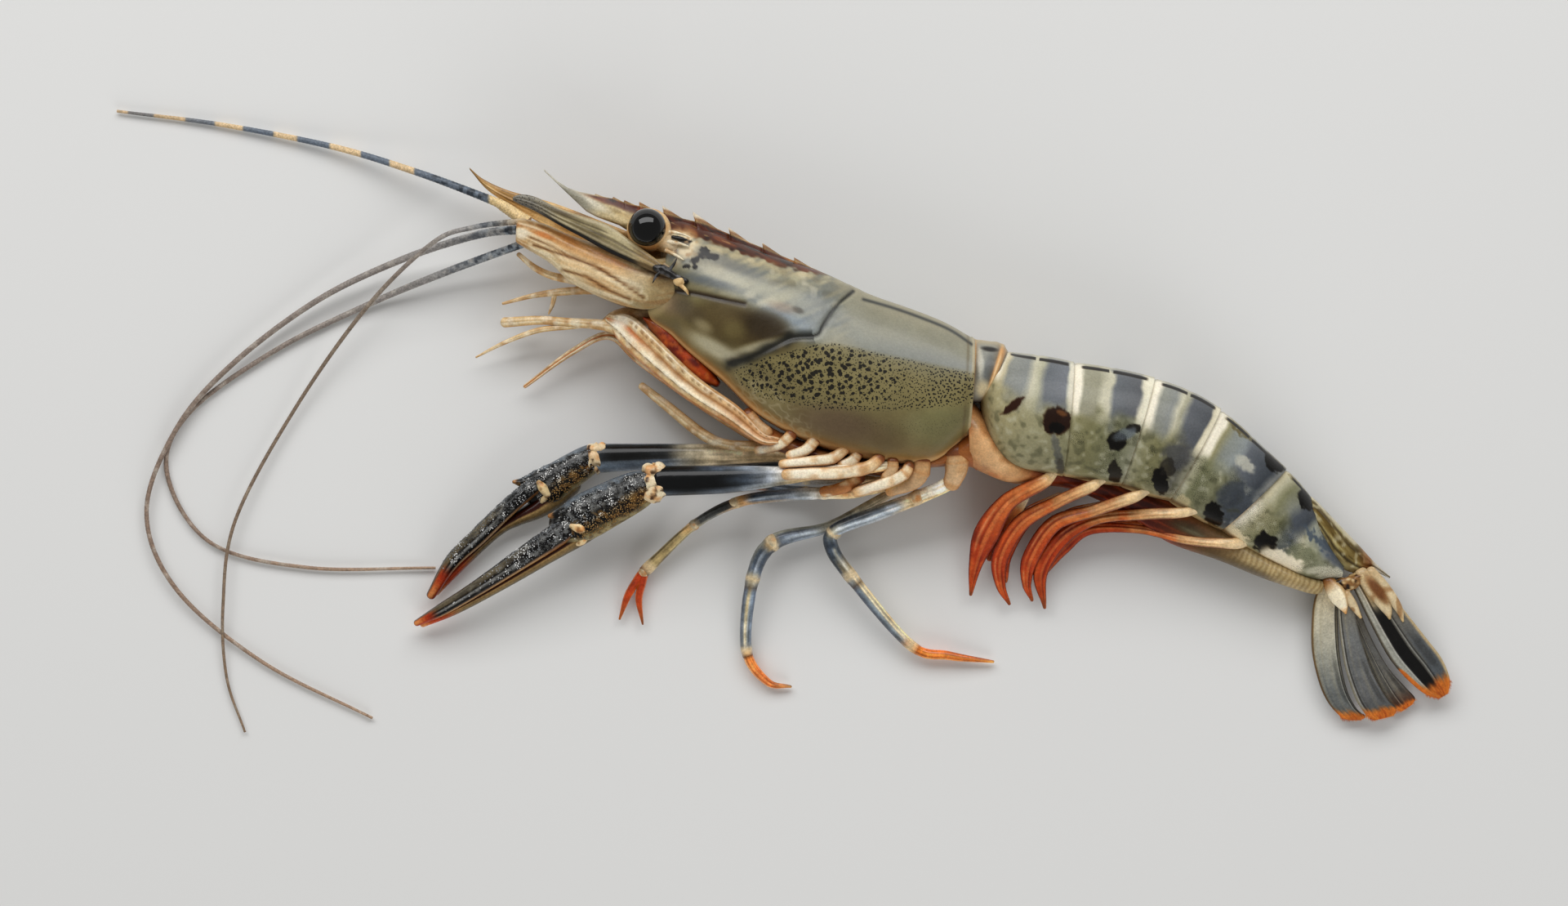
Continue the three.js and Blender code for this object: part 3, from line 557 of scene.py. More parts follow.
def paintCarapace(g):
    x, y, t, p = g["x"], g["y"], g["t"], g["p"]
    wob = cloud(p, 3.2, 2) - 0.5
    colour = ramp(t + wob * 0.05, [
        (0, (160, 154, 134)), (0.1, (150, 148, 134)), (0.22, (150, 150, 140)), (0.34, (146, 148, 142)),
        (0.46, (144, 138, 112)), (0.6, (132, 124, 92)), (0.76, (118, 108, 82)), (0.9, (128, 114, 82)),
        (1, (150, 120, 80))])
    veil = cloud(p, 5, 41)
    colour = coats(colour, [
        ((104, 100, 84), fade(0.55, 0.9, veil) * fade(0.3, 0.5, t) * 0.35),
        ((160, 150, 118), fade(0.45, 0.1, veil) * fade(0.3, 0.5, t) * 0.35),
    ])
    streak = streaks((x * 0.9 + y * 0.42) / 4.5, (y * 0.9 - x * 0.42) * 1.3, g["z"] * 0.4, 5)
    front = fade(-4, -14, x) * fade(0.5, 0.32, t)
    colour = coats(colour, [
        ((182, 176, 152), front * fade(0.55, 0.8, streak) * 0.7),
        ((112, 118, 120), front * fade(0.5, 0.25, streak) * 0.6),
    ])
    blotch = cloud(p, 2.2, 21)
    colour = coats(colour, [
        ((96, 92, 80), front * fade(0.6, 0.85, blotch) * 0.35),
        ((214, 206, 184), front * fade(0.3, 0.1, blotch) * 0.5),
    ])
    marksAndHighlights = [
        ((-20, 12.5), (7.5, 2.6), -18, 0.6, (140, 152, 164), 0.75),
        ((-29.5, 23.2), (5.5, 1.5), -22, 0.6, (108, 112, 114), 0.75),
        ((-36, 24.2), (3.2, 1.2), -20, 0.7, (124, 120, 108), 0.6),
        ((-13.5, 15.5), (5, 3), -30, 0.7, (136, 142, 146), 0.6),
        # these two cream streaks along the upper side are a painted highlight
        ((-33, 22.4), (7, 1.5), -20, 0.7, (208, 202, 184), 0.7),
        ((-25, 19.5), (9, 1.8), -18, 0.7, (178, 176, 160), 0.6),
        ((-36.5, 21.2), (6.5, 0.9), -14, 0.7, (96, 104, 114), 0.65),
        ((-34, 26), (6, 1.2), -24, 0.7, (122, 120, 112), 0.5),
        ((-29, 11.6), (10.5, 4.2), -18, 0.45, (84, 72, 48), 0.95),
        ((-24.5, 11.8), (4.5, 3), -18, 0.5, (58, 48, 34), 0.75),
        ((-35, 13.6), (3.6, 3.2), -30, 0.6, (104, 92, 66), 0.8),
        ((-31, 11), (2.2, 2), 0, 0.7, (118, 108, 76), 0.7),
        ((-39.5, 14.6), (2.4, 1.6), -20, 0.7, (88, 78, 62), 0.6),
        ((-37.5, 12), (2, 1.1), -35, 0.7, (172, 162, 134), 0.6),
        ((-44.5, 17), (4, 2.2), -20, 0.7, (138, 120, 102), 0.8),
        ((-41.5, 16.4), (1.8, 1.8), 0, 0.7, (92, 86, 74), 0.6),
        ((-34.5, 6.9), (6.5, 1.6), -30, 0.6, (196, 190, 166), 0.9),
        ((-26, 7.6), (6, 1), 15, 0.6, (186, 180, 158), 0.75),
        ((-17.7, 15.2), (1.2, 0.6), -20, 0.5, (70, 66, 60), 0.75),
        ((-21, 15.8), (2.6, 1), -15, 0.7, (156, 138, 122), 0.6),
        ((-10, 8.8), (4.2, 2), -20, 0.7, (172, 168, 152), 0.6),
        ((9, 4.6), (11, 2.2), -16, 0.7, (128, 132, 132), 0.45),
        ((-24, -3), (9, 1.6), -38, 0.7, (150, 140, 108), 0.6),
        ((12, -8.5), (7, 5), 10, 0.7, (130, 130, 98), 0.6),
        ((-6, -10.5), (11, 3), -14, 0.7, (106, 92, 72), 0.6),
        ((8, -15), (9, 1.6), 4, 0.7, (136, 116, 78), 0.6),
    ]
    for centre, radii, tilt, soft, tint, strength in marksAndHighlights:
        colour = put(colour, tint, blob(x, y, centre, radii, tilt, soft) * strength)
    # a dark band along the groove, soft and wider along its lower part: painted shade in the groove
    groove, where = fromPath(x, y, carapace["groove"])
    band = groove + (cloud(p, 1.6, 14) - 0.5) * np.where(where < 0.45, 0.2, 1)
    colour = put(colour, (34, 36, 38), bell(band, 0, np.where(where < 0.45, 0.34, 1.15))
        * np.where(where < 0.45, 0.9, 0.85))
    seam, _ = fromPath(x, y, carapace["seam"])
    colour = put(colour, (46, 34, 26), bell(seam, 0, 0.55) * 0.9)
    back, _ = fromPath(x, y, carapace["backLine"])
    colour = put(colour, (52, 56, 60), bell(back, 0, 0.34) * 0.85)
    # the dark red-brown crest between the teeth, with pale ragged borders
    under = np.interp(x, *zip(*beak["upper"])) - y
    crestWide = np.interp(x, [-46, -38, -28, -20, -15, -11],
        [3.2, 3.4, 2.9, 2, 1, 0.2]) + (cloud(p, 1.1, 31) - 0.5) * 1.2
    crest = fade(0.5, -0.4, under - crestWide) * fade(-10.5, -14, x)
    lie = np.stack([(x * 0.92 - y * 0.4) * 0.55, (y * 0.92 + x * 0.4) * 1.7, g["z"] * 0.4], -1)
    colour = coats(colour, [
        ((196, 180, 146), bell(under - crestWide, 1.1, 0.8) * fade(-12, -16, x) * 0.55),
        ((84, 42, 20), crest * 0.95),
        ((142, 84, 44), crest * fade(0.5, 0.8, cloud(lie, 1.6, 32)) * 0.6),
        ((42, 26, 20), crest * fade(0.45, 0.2, cloud(lie, 1, 33)) * 0.8),
        ((198, 178, 140), crest * fade(0.8, 0.92, cloud(lie, 0.7, 34)) * 0.5),
    ])
    # cream socket behind the eye, with a black slit of painted shade under the spines, and dark tufts
    socket = blob(x, y, (-42.2, 28.6), (3.4, 3.6), -20, 0.5)
    colour = coats(colour, [
        ((232, 214, 180), socket * fade(0.15, 0.5, cloud(p, 1.2, 35)) * 0.9),
        ((150, 106, 66), socket * fade(0.5, 0.8, cloud(p, 0.9, 36)) * 0.5),
    ])
    # the first, thin path is the slit: near-black painted shade under the socket's spines
    for path, wide in (([(-45, 30.6), (-42.4, 30.2), (-40.4, 29.8)], 0.42),
            ([(-39.5, 25.4), (-37.5, 27), (-34.8, 26.4)], 0.9),
        ([(-46.6, 24), (-44.2, 22.6), (-42.4, 20.4)], 0.8),
        ([(-41.6, 24.6), (-39, 24.4)], 0.5),
        ([(-38, 28.6), (-36.4, 27.4)], 0.6)):
        far, _ = fromPath(x, y, path)
        ragged = far + (cloud(p, 0.6, 37) - 0.5) * 0.9
        colour = put(colour, (22, 18, 18), fade(wide, wide * 0.4, ragged) * 0.92)
    lower = fade(0.93, 0.985, t)
    colour = coats(colour, [
        ((176, 132, 88), lower * 0.85),
        ((206, 172, 128), bell(t, 0.975, 0.012) * 0.8),
    ])
    rear = fade(0.985, 0.996, g["u"])
    colour = coats(colour, [
        ((204, 190, 160), rear * 0.7),
        ((96, 84, 64), bell(g["u"], 0.972, 0.006) * 0.4),
        ((188, 170, 132), blob(x, y, (-47.2, 15.6), (3, 1.2), 35, 0.6) * 0.5),
    ])
    # where the black spots are dense
    top = np.interp(x, [-32, -26, -14, -10, 0, 10, 18], [3.2, 5.4, 8.6, 8.8, 6.6, 4.6, 3])
    bottom = np.interp(x, [-32, -26, -14, 0, 10, 18], [0.5, -3.6, -6.4, -6.8, -6.6, -5.6])
    area = fade(0, 1.4, top - y) * fade(0, 2.4, y - bottom) * fade(-32, -29.5, x)
    size = np.interp(x, [-31, -24, -12, 0, 7, 12, 18], [0.8, 0.9, 0.97, 0.88, 0.68, 0.56, 0.48])
    size = size * np.interp(y, [-7, -4, 1, 8], [0.64, 0.88, 1, 0.95])
    colour = put(colour, (136, 127, 94), area * 0.7)
    net = 1 - np.abs(2 * cloud(p, 1.3, 51) - 1)
    colour = coats(colour, [
        ((176, 166, 138), fade(0.7, 0.95, net) * blob(x, y, (-22, -5.6), (10, 3), -38, 0.6) * 0.6),
        ((112, 96, 84), blob(x, y, (-9.5, -8.2), (7.5, 3), -12, 0.7) * 0.6),
    ])
    below = fade(0, 5, bottom + 2.4 - y) * 0.2 * fade(0.9, 0.75, t)
    specks = np.maximum(area * size, np.maximum(below, 0)) * fade(0.97, 0.93, t)
    return colour, specks


carapaceGrid = frontEdge(shell(carapace["rows"], 36, 290, 0.94, None, carapaceRelief))
addPiece("carapaceShell", [carapaceGrid], paintCarapace, "carapace", "carapace_shell", "carapace")


def beakGrid(length=420, around=56):
    xs = np.linspace(-71, -10.5, length)
    top = np.interp(xs, *zip(*beak["upper"]))
    low = np.interp(xs, *zip(*beak["lower"]))
    ridge = np.zeros(length)
    for tipX, high, run in beak["teeth"]:
        back = np.clip((xs - tipX) / run, 0, 1)
        tooth = np.where(xs >= tipX, (1 - back) ** 1.15, bell(tipX, xs, 0.3))
        ridge = np.maximum(ridge, 1.15 * high * tooth)
    top = top + ridge
    thick = np.interp(xs, *zip(*beak["halfThick"]))
    angle = np.arange(around) * 2 * math.pi / around
    uu, aa = np.meshgrid(np.linspace(0, 1, length), angle, indexing="ij")
    h = (1 + np.cos(aa)) / 2
    p = np.empty(uu.shape + (3,))
    p[..., 0] = xs[:, None] - 0.5 * ridge[:, None] * fade(0.72, 1, h)
    p[..., 1] = low[:, None] + (top - low)[:, None] * h
    # thin at the crest, thicker low down where it joins the back
    profile = np.abs(np.sin(aa)) ** 0.7 * (0.12 + 0.88 * (1 - h) ** 0.75)
    p[..., 2] = headMid + np.sign(np.sin(aa)) * thick[:, None] * profile
    return {"p": p, "u": uu, "a": aa, "along": uu}


def paintBeak(g):
    x, y, p = g["x"], g["y"], g["p"]
    top = np.interp(x, *zip(*beak["upper"]))
    depth = top - y
    colour = plain(len(x), (186, 168, 128))
    streak = streaks(x * 0.25, (y + x * 0.42) * 1.6, g["z"] * 0, 3)
    colour = coats(colour, [
        ((222, 206, 170), fade(0.45, 0.8, streak) * 0.7),
        ((142, 128, 92), fade(0.45, 0.2, streak) * 0.6),
    ])
    crestWidth = np.interp(x, [-68, -60, -50, -38, -24, -16, -10], [0.6, 1.6, 2.4, 3, 2.7, 1.4, 0.4])
    crest = fade(0, 0.5, depth + 0.1) * fade(0, 0.9, crestWidth - depth)
    # the crest fades out toward the pale point of the beak
    crest = crest * fade(-67, -60, x)
    lie = np.stack([(x * 0.92 - y * 0.4) * 0.55, (y * 0.92 + x * 0.4) * 1.7, g["z"] * 0.4], -1)
    colour = coats(colour, [
        ((82, 38, 22), crest * 0.95),
        ((142, 84, 44), crest * fade(0.5, 0.8, cloud(lie, 1.6, 32)) * 0.6),
        ((42, 26, 20), crest * fade(0.45, 0.2, cloud(lie, 1, 33)) * 0.8),
        ((164, 140, 96), bell(depth - crestWidth, 0.6, 0.6) * fade(-66, -58, x) * 0.7),
        ((96, 84, 58), fade(0.5, 0.75, cloud(p, 1.8, 9)) * fade(-60, -54, x) * (1 - crest) * 0.5),
    ])
    teeth = fade(0.15, -0.35, depth)
    colour = coats(colour, [
        ((138, 100, 70), teeth * 0.9),
        ((226, 218, 200), fade(-0.4, -1.1, depth) * 0.85),
    ])
    front = fade(-58, -63, x)
    return coats(colour, [
        ((186, 184, 174), front * (1 - crest) * 0.9),
        ((222, 216, 198), blob(x, y, (-61, 38), (4.5, 1), -28, 0.6) * 0.8),
        ((112, 110, 100), blob(x, y, (-64.5, 39.4), (4, 0.8), -35, 0.6) * 0.6),
        ((196, 152, 96), blob(x, y, (-19, 25.2), (1.6, 0.7), -20, 0.6) * 0.7),
    ])


addPiece("beakBlade", [beakGrid()], paintBeak, "crest", "carapace_shell", "carapace")
print("carapace and beak")


# eyes

eye = {"radius": 4, "at": (-49.2, 32.6), "spread": 6.2, "cupRadius": 4.55}


def paintEye(g):
    return plain(len(g["x"]), (7, 8, 10))


def paintCup(g):
    x, y = g["x"], g["y"]
    return coats(plain(len(x), (222, 188, 142)), [
        # brown under the eye: painted shadow below the eyeball
        ((120, 84, 50), blob(x, y, (-49.5, 27.6), (5, 1.4), 10, 0.6) * 0.9),
        ((196, 142, 92), fade(0.4, 0.7, cloud(g["p"], 1.8, 4)) * 0.5),
        ((236, 220, 192), blob(x, y, (-43.4, 29), (2.5, 3), 0, 0.7) * 0.8),
    ])


for side, sign in (("left", 1), ("right", -1)):
    z = headMid + sign * eye["spread"]
    x0, y0 = eye["at"]
    addPiece("eyeBall" + side.title(), [ball((x0, y0, z), eye["radius"], 48, 64)], paintEye, "eye",
        "eye", "eye_" + side)
    cup = ball((x0 + 0.35, y0 - 0.45, z - sign * 1.3), eye["cupRadius"], 32, 48, (1.02, 1, 0.66))
    stalk = tube([
        [-43.4, 28.4, headMid + sign * 3.8, 1.4, 1.6],
        [-45.4, 29.6, headMid + sign * 4.4, 2.3, 2],
        [-47.8, 31.4, z - sign * 1.8, 3.4, 2.4],
    ], 8, 28)
    addPiece("eyeStalk" + side.title(), [cup, stalk], paintCup, "cream", "antenna_shell")

# the ragged rim of the socket behind each eye
socketSpines = [
    [[-45.8, 31.8, 5.6, 0.45, 0.4], [-43, 31.5, 6.1, 0.28, 0.3], [-40.2, 30.6, 6, 0.1, 0.15]],
    [[-45.6, 29.8, 5.8, 0.5, 0.5], [-42.6, 29.3, 6.3, 0.34, 0.35], [-40.6, 28.7, 6.4, 0.12, 0.15]],
    [[-45.2, 27.8, 6, 0.45, 0.4], [-43, 26.7, 6.5, 0.3, 0.3], [-41.6, 25.8, 6.9, 0.1, 0.15]],
    [[-43.8, 30.6, 6, 0.4, 0.4], [-42.2, 30.2, 6.5, 0.5, 0.4], [-41, 30, 6.5, 0.2, 0.2]],
]


def paintSocket(g):
    colour = plain(len(g["x"]), (238, 224, 196))
    colour = put(colour, (176, 132, 88), fade(0.5, 0.8, cloud(g["p"], 0.9, 3)) * 0.6)
    # the fourth spine lies along the slit and is painted near-black with it, as painted shade
    colour = np.where((g["part"] == 3)[:, None], np.array([26, 22, 22]), colour)
    return colour


for side, sign in (("Left", 1), ("Right", -1)):
    spines = [tube([[x, y, headMid + sign * away, wide, thick] for x, y, away, wide, thick in rows], 8,
        12) for rows in socketSpines]
    addPiece("eyeSocket" + side, spines, paintSocket, "cream", "antenna_shell")
print("eyes")


# antenna bases and scales

antennaBase = {
    "rows": [
        [-42.5, 27.4, -43.5, 16.2, 3], [-47, 26.3, -48.8, 15.6, 3], [-51, 27, -52.5, 15.9, 3],
        [-56, 28.4, -56.8, 17.2, 2.9], [-62, 30, -61.8, 19.4, 2.7], [-66, 31.4, -65.8, 21.6, 2.4],
        [-70.5, 33.4, -69.8, 25.4, 2.1], [-75.6, 34.6, -75.8, 29, 1.6], [-76.6, 33.8, -76.8, 29.8, 1],
    ],
    "spread": 3,
    "grooves": [
        [(-76, 31.6), (-70, 29), (-63, 25.8), (-57, 22.6), (-51, 19.6)],
        [(-73, 29), (-66, 26.6), (-60, 24.8), (-54, 20.6), (-50, 18)],
        [(-72, 33.2), (-66, 30.4), (-60, 27.2), (-54, 24.6), (-49, 23)],
        [(-67, 23.8), (-62, 22.4), (-57, 19.4), (-53, 17.6)],
    ],
}


def baseRelief(g):
    x, y = g["p"][..., 0], g["p"][..., 1]
    rise = np.zeros(x.shape)
    for path in antennaBase["grooves"]:
        d, _ = fromPath(x, y, path)
        rise = rise - 0.14 * bell(d, 0, 0.4)
    fine = streaks(g["u"] * 2, np.cos(g["a"]) * 9, g["u"] * 0, 44).reshape(x.shape)
    return rise + 0.12 * (fine - 0.5) * np.abs(np.sin(g["a"]))


def paintAntennaBase(g):
    x, y = g["x"], g["y"]
    colour = ramp(g["t"], [(0, (176, 138, 96)), (0.3, (206, 162, 116)), (0.6, (216, 188, 148)),
        (1, (200, 178, 142))])
    streak = streaks((x * 0.9 - y * 0.4) * 0.16, (y * 0.9 + x * 0.42) * 1.7, g["z"] * 0.2, 6)
    colour = coats(colour, [
        ((236, 222, 190), fade(0.5, 0.8, streak) * 0.6),
        ((178, 130, 84), fade(0.5, 0.2, streak) * 0.6),
        # grey-brown toward the inner end: partly its own translucent tone, partly painted shade where it
        # runs under the carapace's front corner
        ((148, 132, 100), fade(-57, -49, x) * 0.7),
    ])
    for k, path in enumerate(antennaBase["grooves"]):
        d, _ = fromPath(x, y, path)
        colour = coats(colour, [
            ((96, 62, 38), bell(d, 0, 0.24) * (0.8 if k != 2 else 0.5)),
            ((238, 226, 198), bell(d, 0.8, 0.3) * 0.4),
        ])
    threads = streaks(g["u"] * 2.5, g["c"] * 13, g["u"] * 0, 45)
    return coats(colour, [
        ((140, 96, 60), fade(0.64, 0.84, threads) * 0.35),
        ((244, 232, 204), fade(0.36, 0.18, threads) * 0.4),
        ((206, 124, 66), blob(x, y, (-70.6, 31), (2.2, 0.6), -18, 0.6) * 0.7),
        ((198, 122, 68), blob(x, y, (-65.5, 30), (2.6, 0.7), -30, 0.6) * 0.7),
        ((196, 126, 76), blob(x, y, (-57, 26.2), (5.5, 0.5), -26, 0.7) * 0.6),
        ((232, 222, 200), blob(x, y, (-75.4, 31.4), (1.5, 1.2), 0, 0.5) * 0.8),
        ((228, 212, 184), blob(x, y, (-52, 21.8), (3.2, 2), -20, 0.7) * 0.5),
        ((190, 138, 88), blob(x, y, (-62.5, 28), (8.5, 1.5), -27, 0.7) * 0.65),
        ((60, 46, 36), blob(x, y, (-46.8, 23.2), (3.2, 0.9), -20, 0.6) * 0.8),
    ])


for side, sign in (("left", 1), ("right", -1)):
    z = headMid + sign * antennaBase["spread"]
    rows = [row + [z] for row in antennaBase["rows"]]
    grid = shell(rows, 14, 72, 0.85, None, baseRelief)
    addPiece("antennaBase" + side.title(), [grid], paintAntennaBase, "cream", "antenna_shell",
        "antenna_base_" + side)

antennaScales = {
    "left": {
        "height": headMid + 6.4,
        "rows": [
            [-43.6, 23.4, -43.8, 22, 0.4], [-47, 25.8, -46.4, 22.7, 0.8], [-52, 29.4, -51.6, 24.9, 0.9],
            [-57.3, 33.1, -57.3, 27.4, 0.8], [-63, 35, -62.6, 30.4, 0.75], [-68, 36.8, -67.4, 33, 0.7],
            [-72.6, 39, -72.2, 35.8, 0.6], [-75.6, 39.5, -75.6, 37.4, 0.5], [-77.2, 39, -77.2, 38.3, 0.2],
        ],
    },
    "right": {
        "height": headMid - 6.4,
        "rows": [
            [-42, 26, -42.4, 22.4, 0.5], [-47, 29.5, -46.4, 22.5, 0.8], [-58, 34, -57.4, 27.4, 0.8],
            [-69, 38.2, -67.6, 31.6, 0.7], [-78.6, 40.9, -77.4, 37.2, 0.6], [-84, 43.3, -83.2, 41, 0.4],
            [-87.1, 45.8, -87, 45.4, 0.12],
        ],
    },
}


def scaleRelief(g):
    c, s = np.cos(g["a"]), np.sign(np.sin(g["a"]))
    ribs = 0.22 * bell(c, -0.15, 0.1) + 0.3 * bell(c, -0.9, 0.08)
    return ribs * (np.abs(np.sin(g["a"])) ** 0.3) * np.abs(s)


def paintLeftScale(g):
    x, c = g["x"], g["c"]
    colour = plain(len(x), (138, 128, 102))
    streak = streaks(x * 0.16, c * 4.2, x * 0, 9)
    thin = streaks(x * 0.2, c * 11, x * 0, 19)
    colour = coats(colour, [
        ((196, 184, 152), fade(0.45, 0.75, streak) * 0.85),
        ((86, 74, 54), fade(0.5, 0.2, streak) * 0.75),
        ((60, 52, 42), fade(0.62, 0.85, thin) * 0.5),
        ((206, 190, 156), fade(0.7, 0.95, c) * 0.7),
        ((206, 196, 170), bell(c, -0.46, 0.12) * 0.7),
        # a near-black line along the lower side: painted shadow under the scale
        ((20, 18, 18), fade(-0.56, -0.68, c) * fade(-49, -52, x) * 0.95),
        ((20, 18, 18), fade(-0.3, -0.5, c) * fade(-52, -49, x) * 0.9),
        ((118, 116, 114), fade(-66, -74, x) * 0.75),
        ((176, 146, 104), fade(-54, -49, x) * 0.5),
    ])
    return colour, fade(-64, -74, x) * 0.24 + 0.12


def paintRightScale(g):
    x, c = g["x"], g["c"]
    colour = plain(len(x), (190, 152, 104))
    streak = streaks(x * 0.25, c * 5, x * 0, 12)
    colour = coats(colour, [
        ((222, 190, 140), fade(0.5, 0.8, streak) * 0.8),
        ((120, 96, 60), fade(0.45, 0.2, streak) * 0.6),
        ((64, 52, 38), bell(c, -0.2, 0.08) * fade(-84, -78, x) * 0.6),
        ((140, 112, 66), fade(-82, -87, x) * 0.6),
    ])
    return colour, np.full(len(x), 0.1)


for side, paint in (("left", paintLeftScale), ("right", paintRightScale)):
    scale = antennaScales[side]
    rows = [row + [scale["height"]] for row in scale["rows"]]
    grid = shell(rows, 14, 48, 0.7, None, scaleRelief)
    addPiece("antennaScale" + side.title(), [grid], paint, "cream", "scale_shell",
        "antenna_scale_" + side)

# the knuckle where the near scale meets the head: a dark hinge with a cream knob and spines
hinge = {
    "knob": (-42.5, 21.4, 20.4),
    "dark": [[-47.4, 24.2, 19.6, 0.7, 0.8], [-45.4, 23.6, 20.2, 1, 1], [-43.4, 22.2, 20.4, 0.9, 1],
        [-41, 21.4, 20, 0.6, 0.8]],
    "spine": [[-42.2, 20.6, 20.6, 0.5, 0.5], [-41, 19.4, 20.6, 0.35, 0.35],
        [-40.6, 18.6, 20.6, 0.15, 0.15]],
    "spineTwo": [[-46.4, 23.4, 20, 0.35, 0.4], [-47.4, 22.2, 20.2, 0.3, 0.3], [-48, 21, 20, 0.1, 0.12]],
    "spineThree": [[-44.6, 23.6, 20.6, 0.4, 0.4], [-43.6, 24.8, 20.8, 0.3, 0.3],
        [-43, 26, 20.6, 0.1, 0.12]],
}


def paintHinge(g):
    part = g["part"][:, None]
    rough = fade(0.4, 0.7, cloud(g["p"], 0.7, 3))
    dark = put(plain(len(rough), (30, 28, 30)), (120, 122, 128), rough * 0.7)
    pale = put(plain(len(rough), (226, 196, 150)), (168, 130, 88), rough * 0.5)
    return np.where((part == 0) | (part == 2), pale, dark)


hingeGrids = [ball(hinge["knob"], 1.15, 20, 24, (1.1, 1, 0.9)),
    tube(hinge["dark"], 8, 24, lumpy(0.5, 3)), tube(hinge["spine"], 6, 10),
    tube(hinge["spineTwo"], 6, 10), tube(hinge["spineThree"], 6, 10)]
addPiece("antennaHinge", hingeGrids, paintHinge, "cream", "antenna_shell")
print("antenna bases and scales")


# limbs


def swellAt(joints, amount=0.22, width=0.018):
    # rounded knuckles, each with a crease just past it
    def swell(u, a):
        grow = np.ones_like(u)
        for place, *rest in joints:
            size = rest[0] if rest else amount
            grow = grow + size * bell(u, place, width)
            grow = grow - 0.5 * size * bell(u - place, 2.1 * width, 0.6 * width)
        return grow
    return swell


def limbPaint(stops, edges=None, edgeFrom=0.62, lowEdges=None, joints=(), jointTone=(228, 206, 170),
        jointWidth=0.02, roughness=0.25, seed=1, stripesAndHighlights=(), lift=1, middle=0):
    def paint(g):
        u, c, p = g["u"], g["c"] - middle, g["p"]
        colour = ramp(u, stops)
        if edges:
            colour = colour + (ramp(u, edges) - colour) * fade(edgeFrom, edgeFrom + 0.25, c)[:, None]
        if lowEdges:
            colour = colour + (ramp(u, lowEdges) - colour) * fade(edgeFrom, edgeFrom + 0.25, -c)[:, None]
        # stripes along segments: the legs' own stripes, and on some legs a painted highlight
        for at, width, start, end, tone in stripesAndHighlights:
            strength = fade(start - 0.012, start + 0.012, u) * fade(end + 0.012, end - 0.012, u)
            uneven = 0.55 + 0.6 * streaks(u * 40, c * 2, u * 0, seed + 3)
            colour = put(colour, tone, bell(c, at, width) * strength * np.clip(uneven, 0, 1))
        shade = cloud(p, 1.3, seed) - 0.5
        lines = streaks(u * 14, c * 5, u * 0, seed + 9) - 0.5
        colour = colour * (1 + roughness * shade[:, None]) * (1 + 0.5 * lines[:, None]) * lift
        for place in joints:
            mask = bell(u, place, jointWidth)
            colour = coats(colour, [
                (jointTone, np.clip(mask * 1.3, 0, 1) * 0.9),
                ((70, 44, 26), bell(u - place, 2 * jointWidth, 0.35 * jointWidth) * 0.6),
            ])
        return colour
    return paint


cream, paleCream, tan = (226, 198, 154), (236, 218, 186), (196, 160, 116)
blackBlue, orange = (16, 19, 24), (206, 116, 56)

arms = {
    "claw_left_arm": {
        "rows": [
            [2.5, -17, 16.4, 0.9, 0.9], [-2.5, -17.6, 17, 1.15, 1.1], [-11, -18.3, 16.4, 1.35, 1.4],
            [-20, -19.2, 15.2, 1.9, 1.8], [-32, -20, 13.4, 2.9, 2.6], [-46.4, -20.4, 11.2, 3.2, 2.8],
        ],
        "stops": [(0, paleCream), (0.55, paleCream), (0.6, (206, 200, 186)), (0.66, (150, 156, 164)),
            (0.74, (66, 74, 86)), (0.84, blackBlue), (1, blackBlue)],
        "edges": [(0, tan), (0.58, cream), (0.66, (168, 172, 172)), (0.8, (110, 120, 134)),
            (0.92, (44, 50, 60)), (1, (70, 80, 94))],
        "lowEdges": [(0, paleCream), (0.6, (210, 206, 196)), (0.72, (150, 160, 172)),
            (0.84, (70, 80, 94)), (1, blackBlue)],
    },
    "claw_right_arm": {
        "rows": [[-8, -15, 6.4, 1.2, 1.2], [-22.5, -14.6, 5.6, 1.8, 1.6], [-33, -14.8, 4.8, 2.2, 2],
            [-46, -15.1, 4, 2.6, 2.4], [-59.4, -15.6, 3.8, 3.1, 2.7]],
        "stops": [(0, cream), (0.45, (226, 206, 172)), (0.6, (216, 202, 174)), (0.68, (150, 144, 130)),
            (0.74, (44, 47, 52)), (0.95, (20, 22, 26)), (1, (60, 66, 76))],
        "edges": [(0, tan), (0.6, (196, 182, 156)), (0.74, (112, 122, 136)), (1, (120, 132, 146))],
        "lowEdges": [(0, tan), (0.6, (206, 194, 170)), (0.72, (128, 138, 150)), (1, (106, 118, 134))],
        "middle": -0.36,
    },
}
for name, arm in arms.items():
    grid = tube(arm["rows"], 16, 40, None, 0.9)
    paint = limbPaint(arm["stops"], arm["edges"], 0.45, arm["lowEdges"], roughness=0.3, seed=4,
        middle=arm.get("middle", 0))
    addPiece(name.replace("_", "") + "Shell", [grid], paint, "arm", "arm_shell", name)

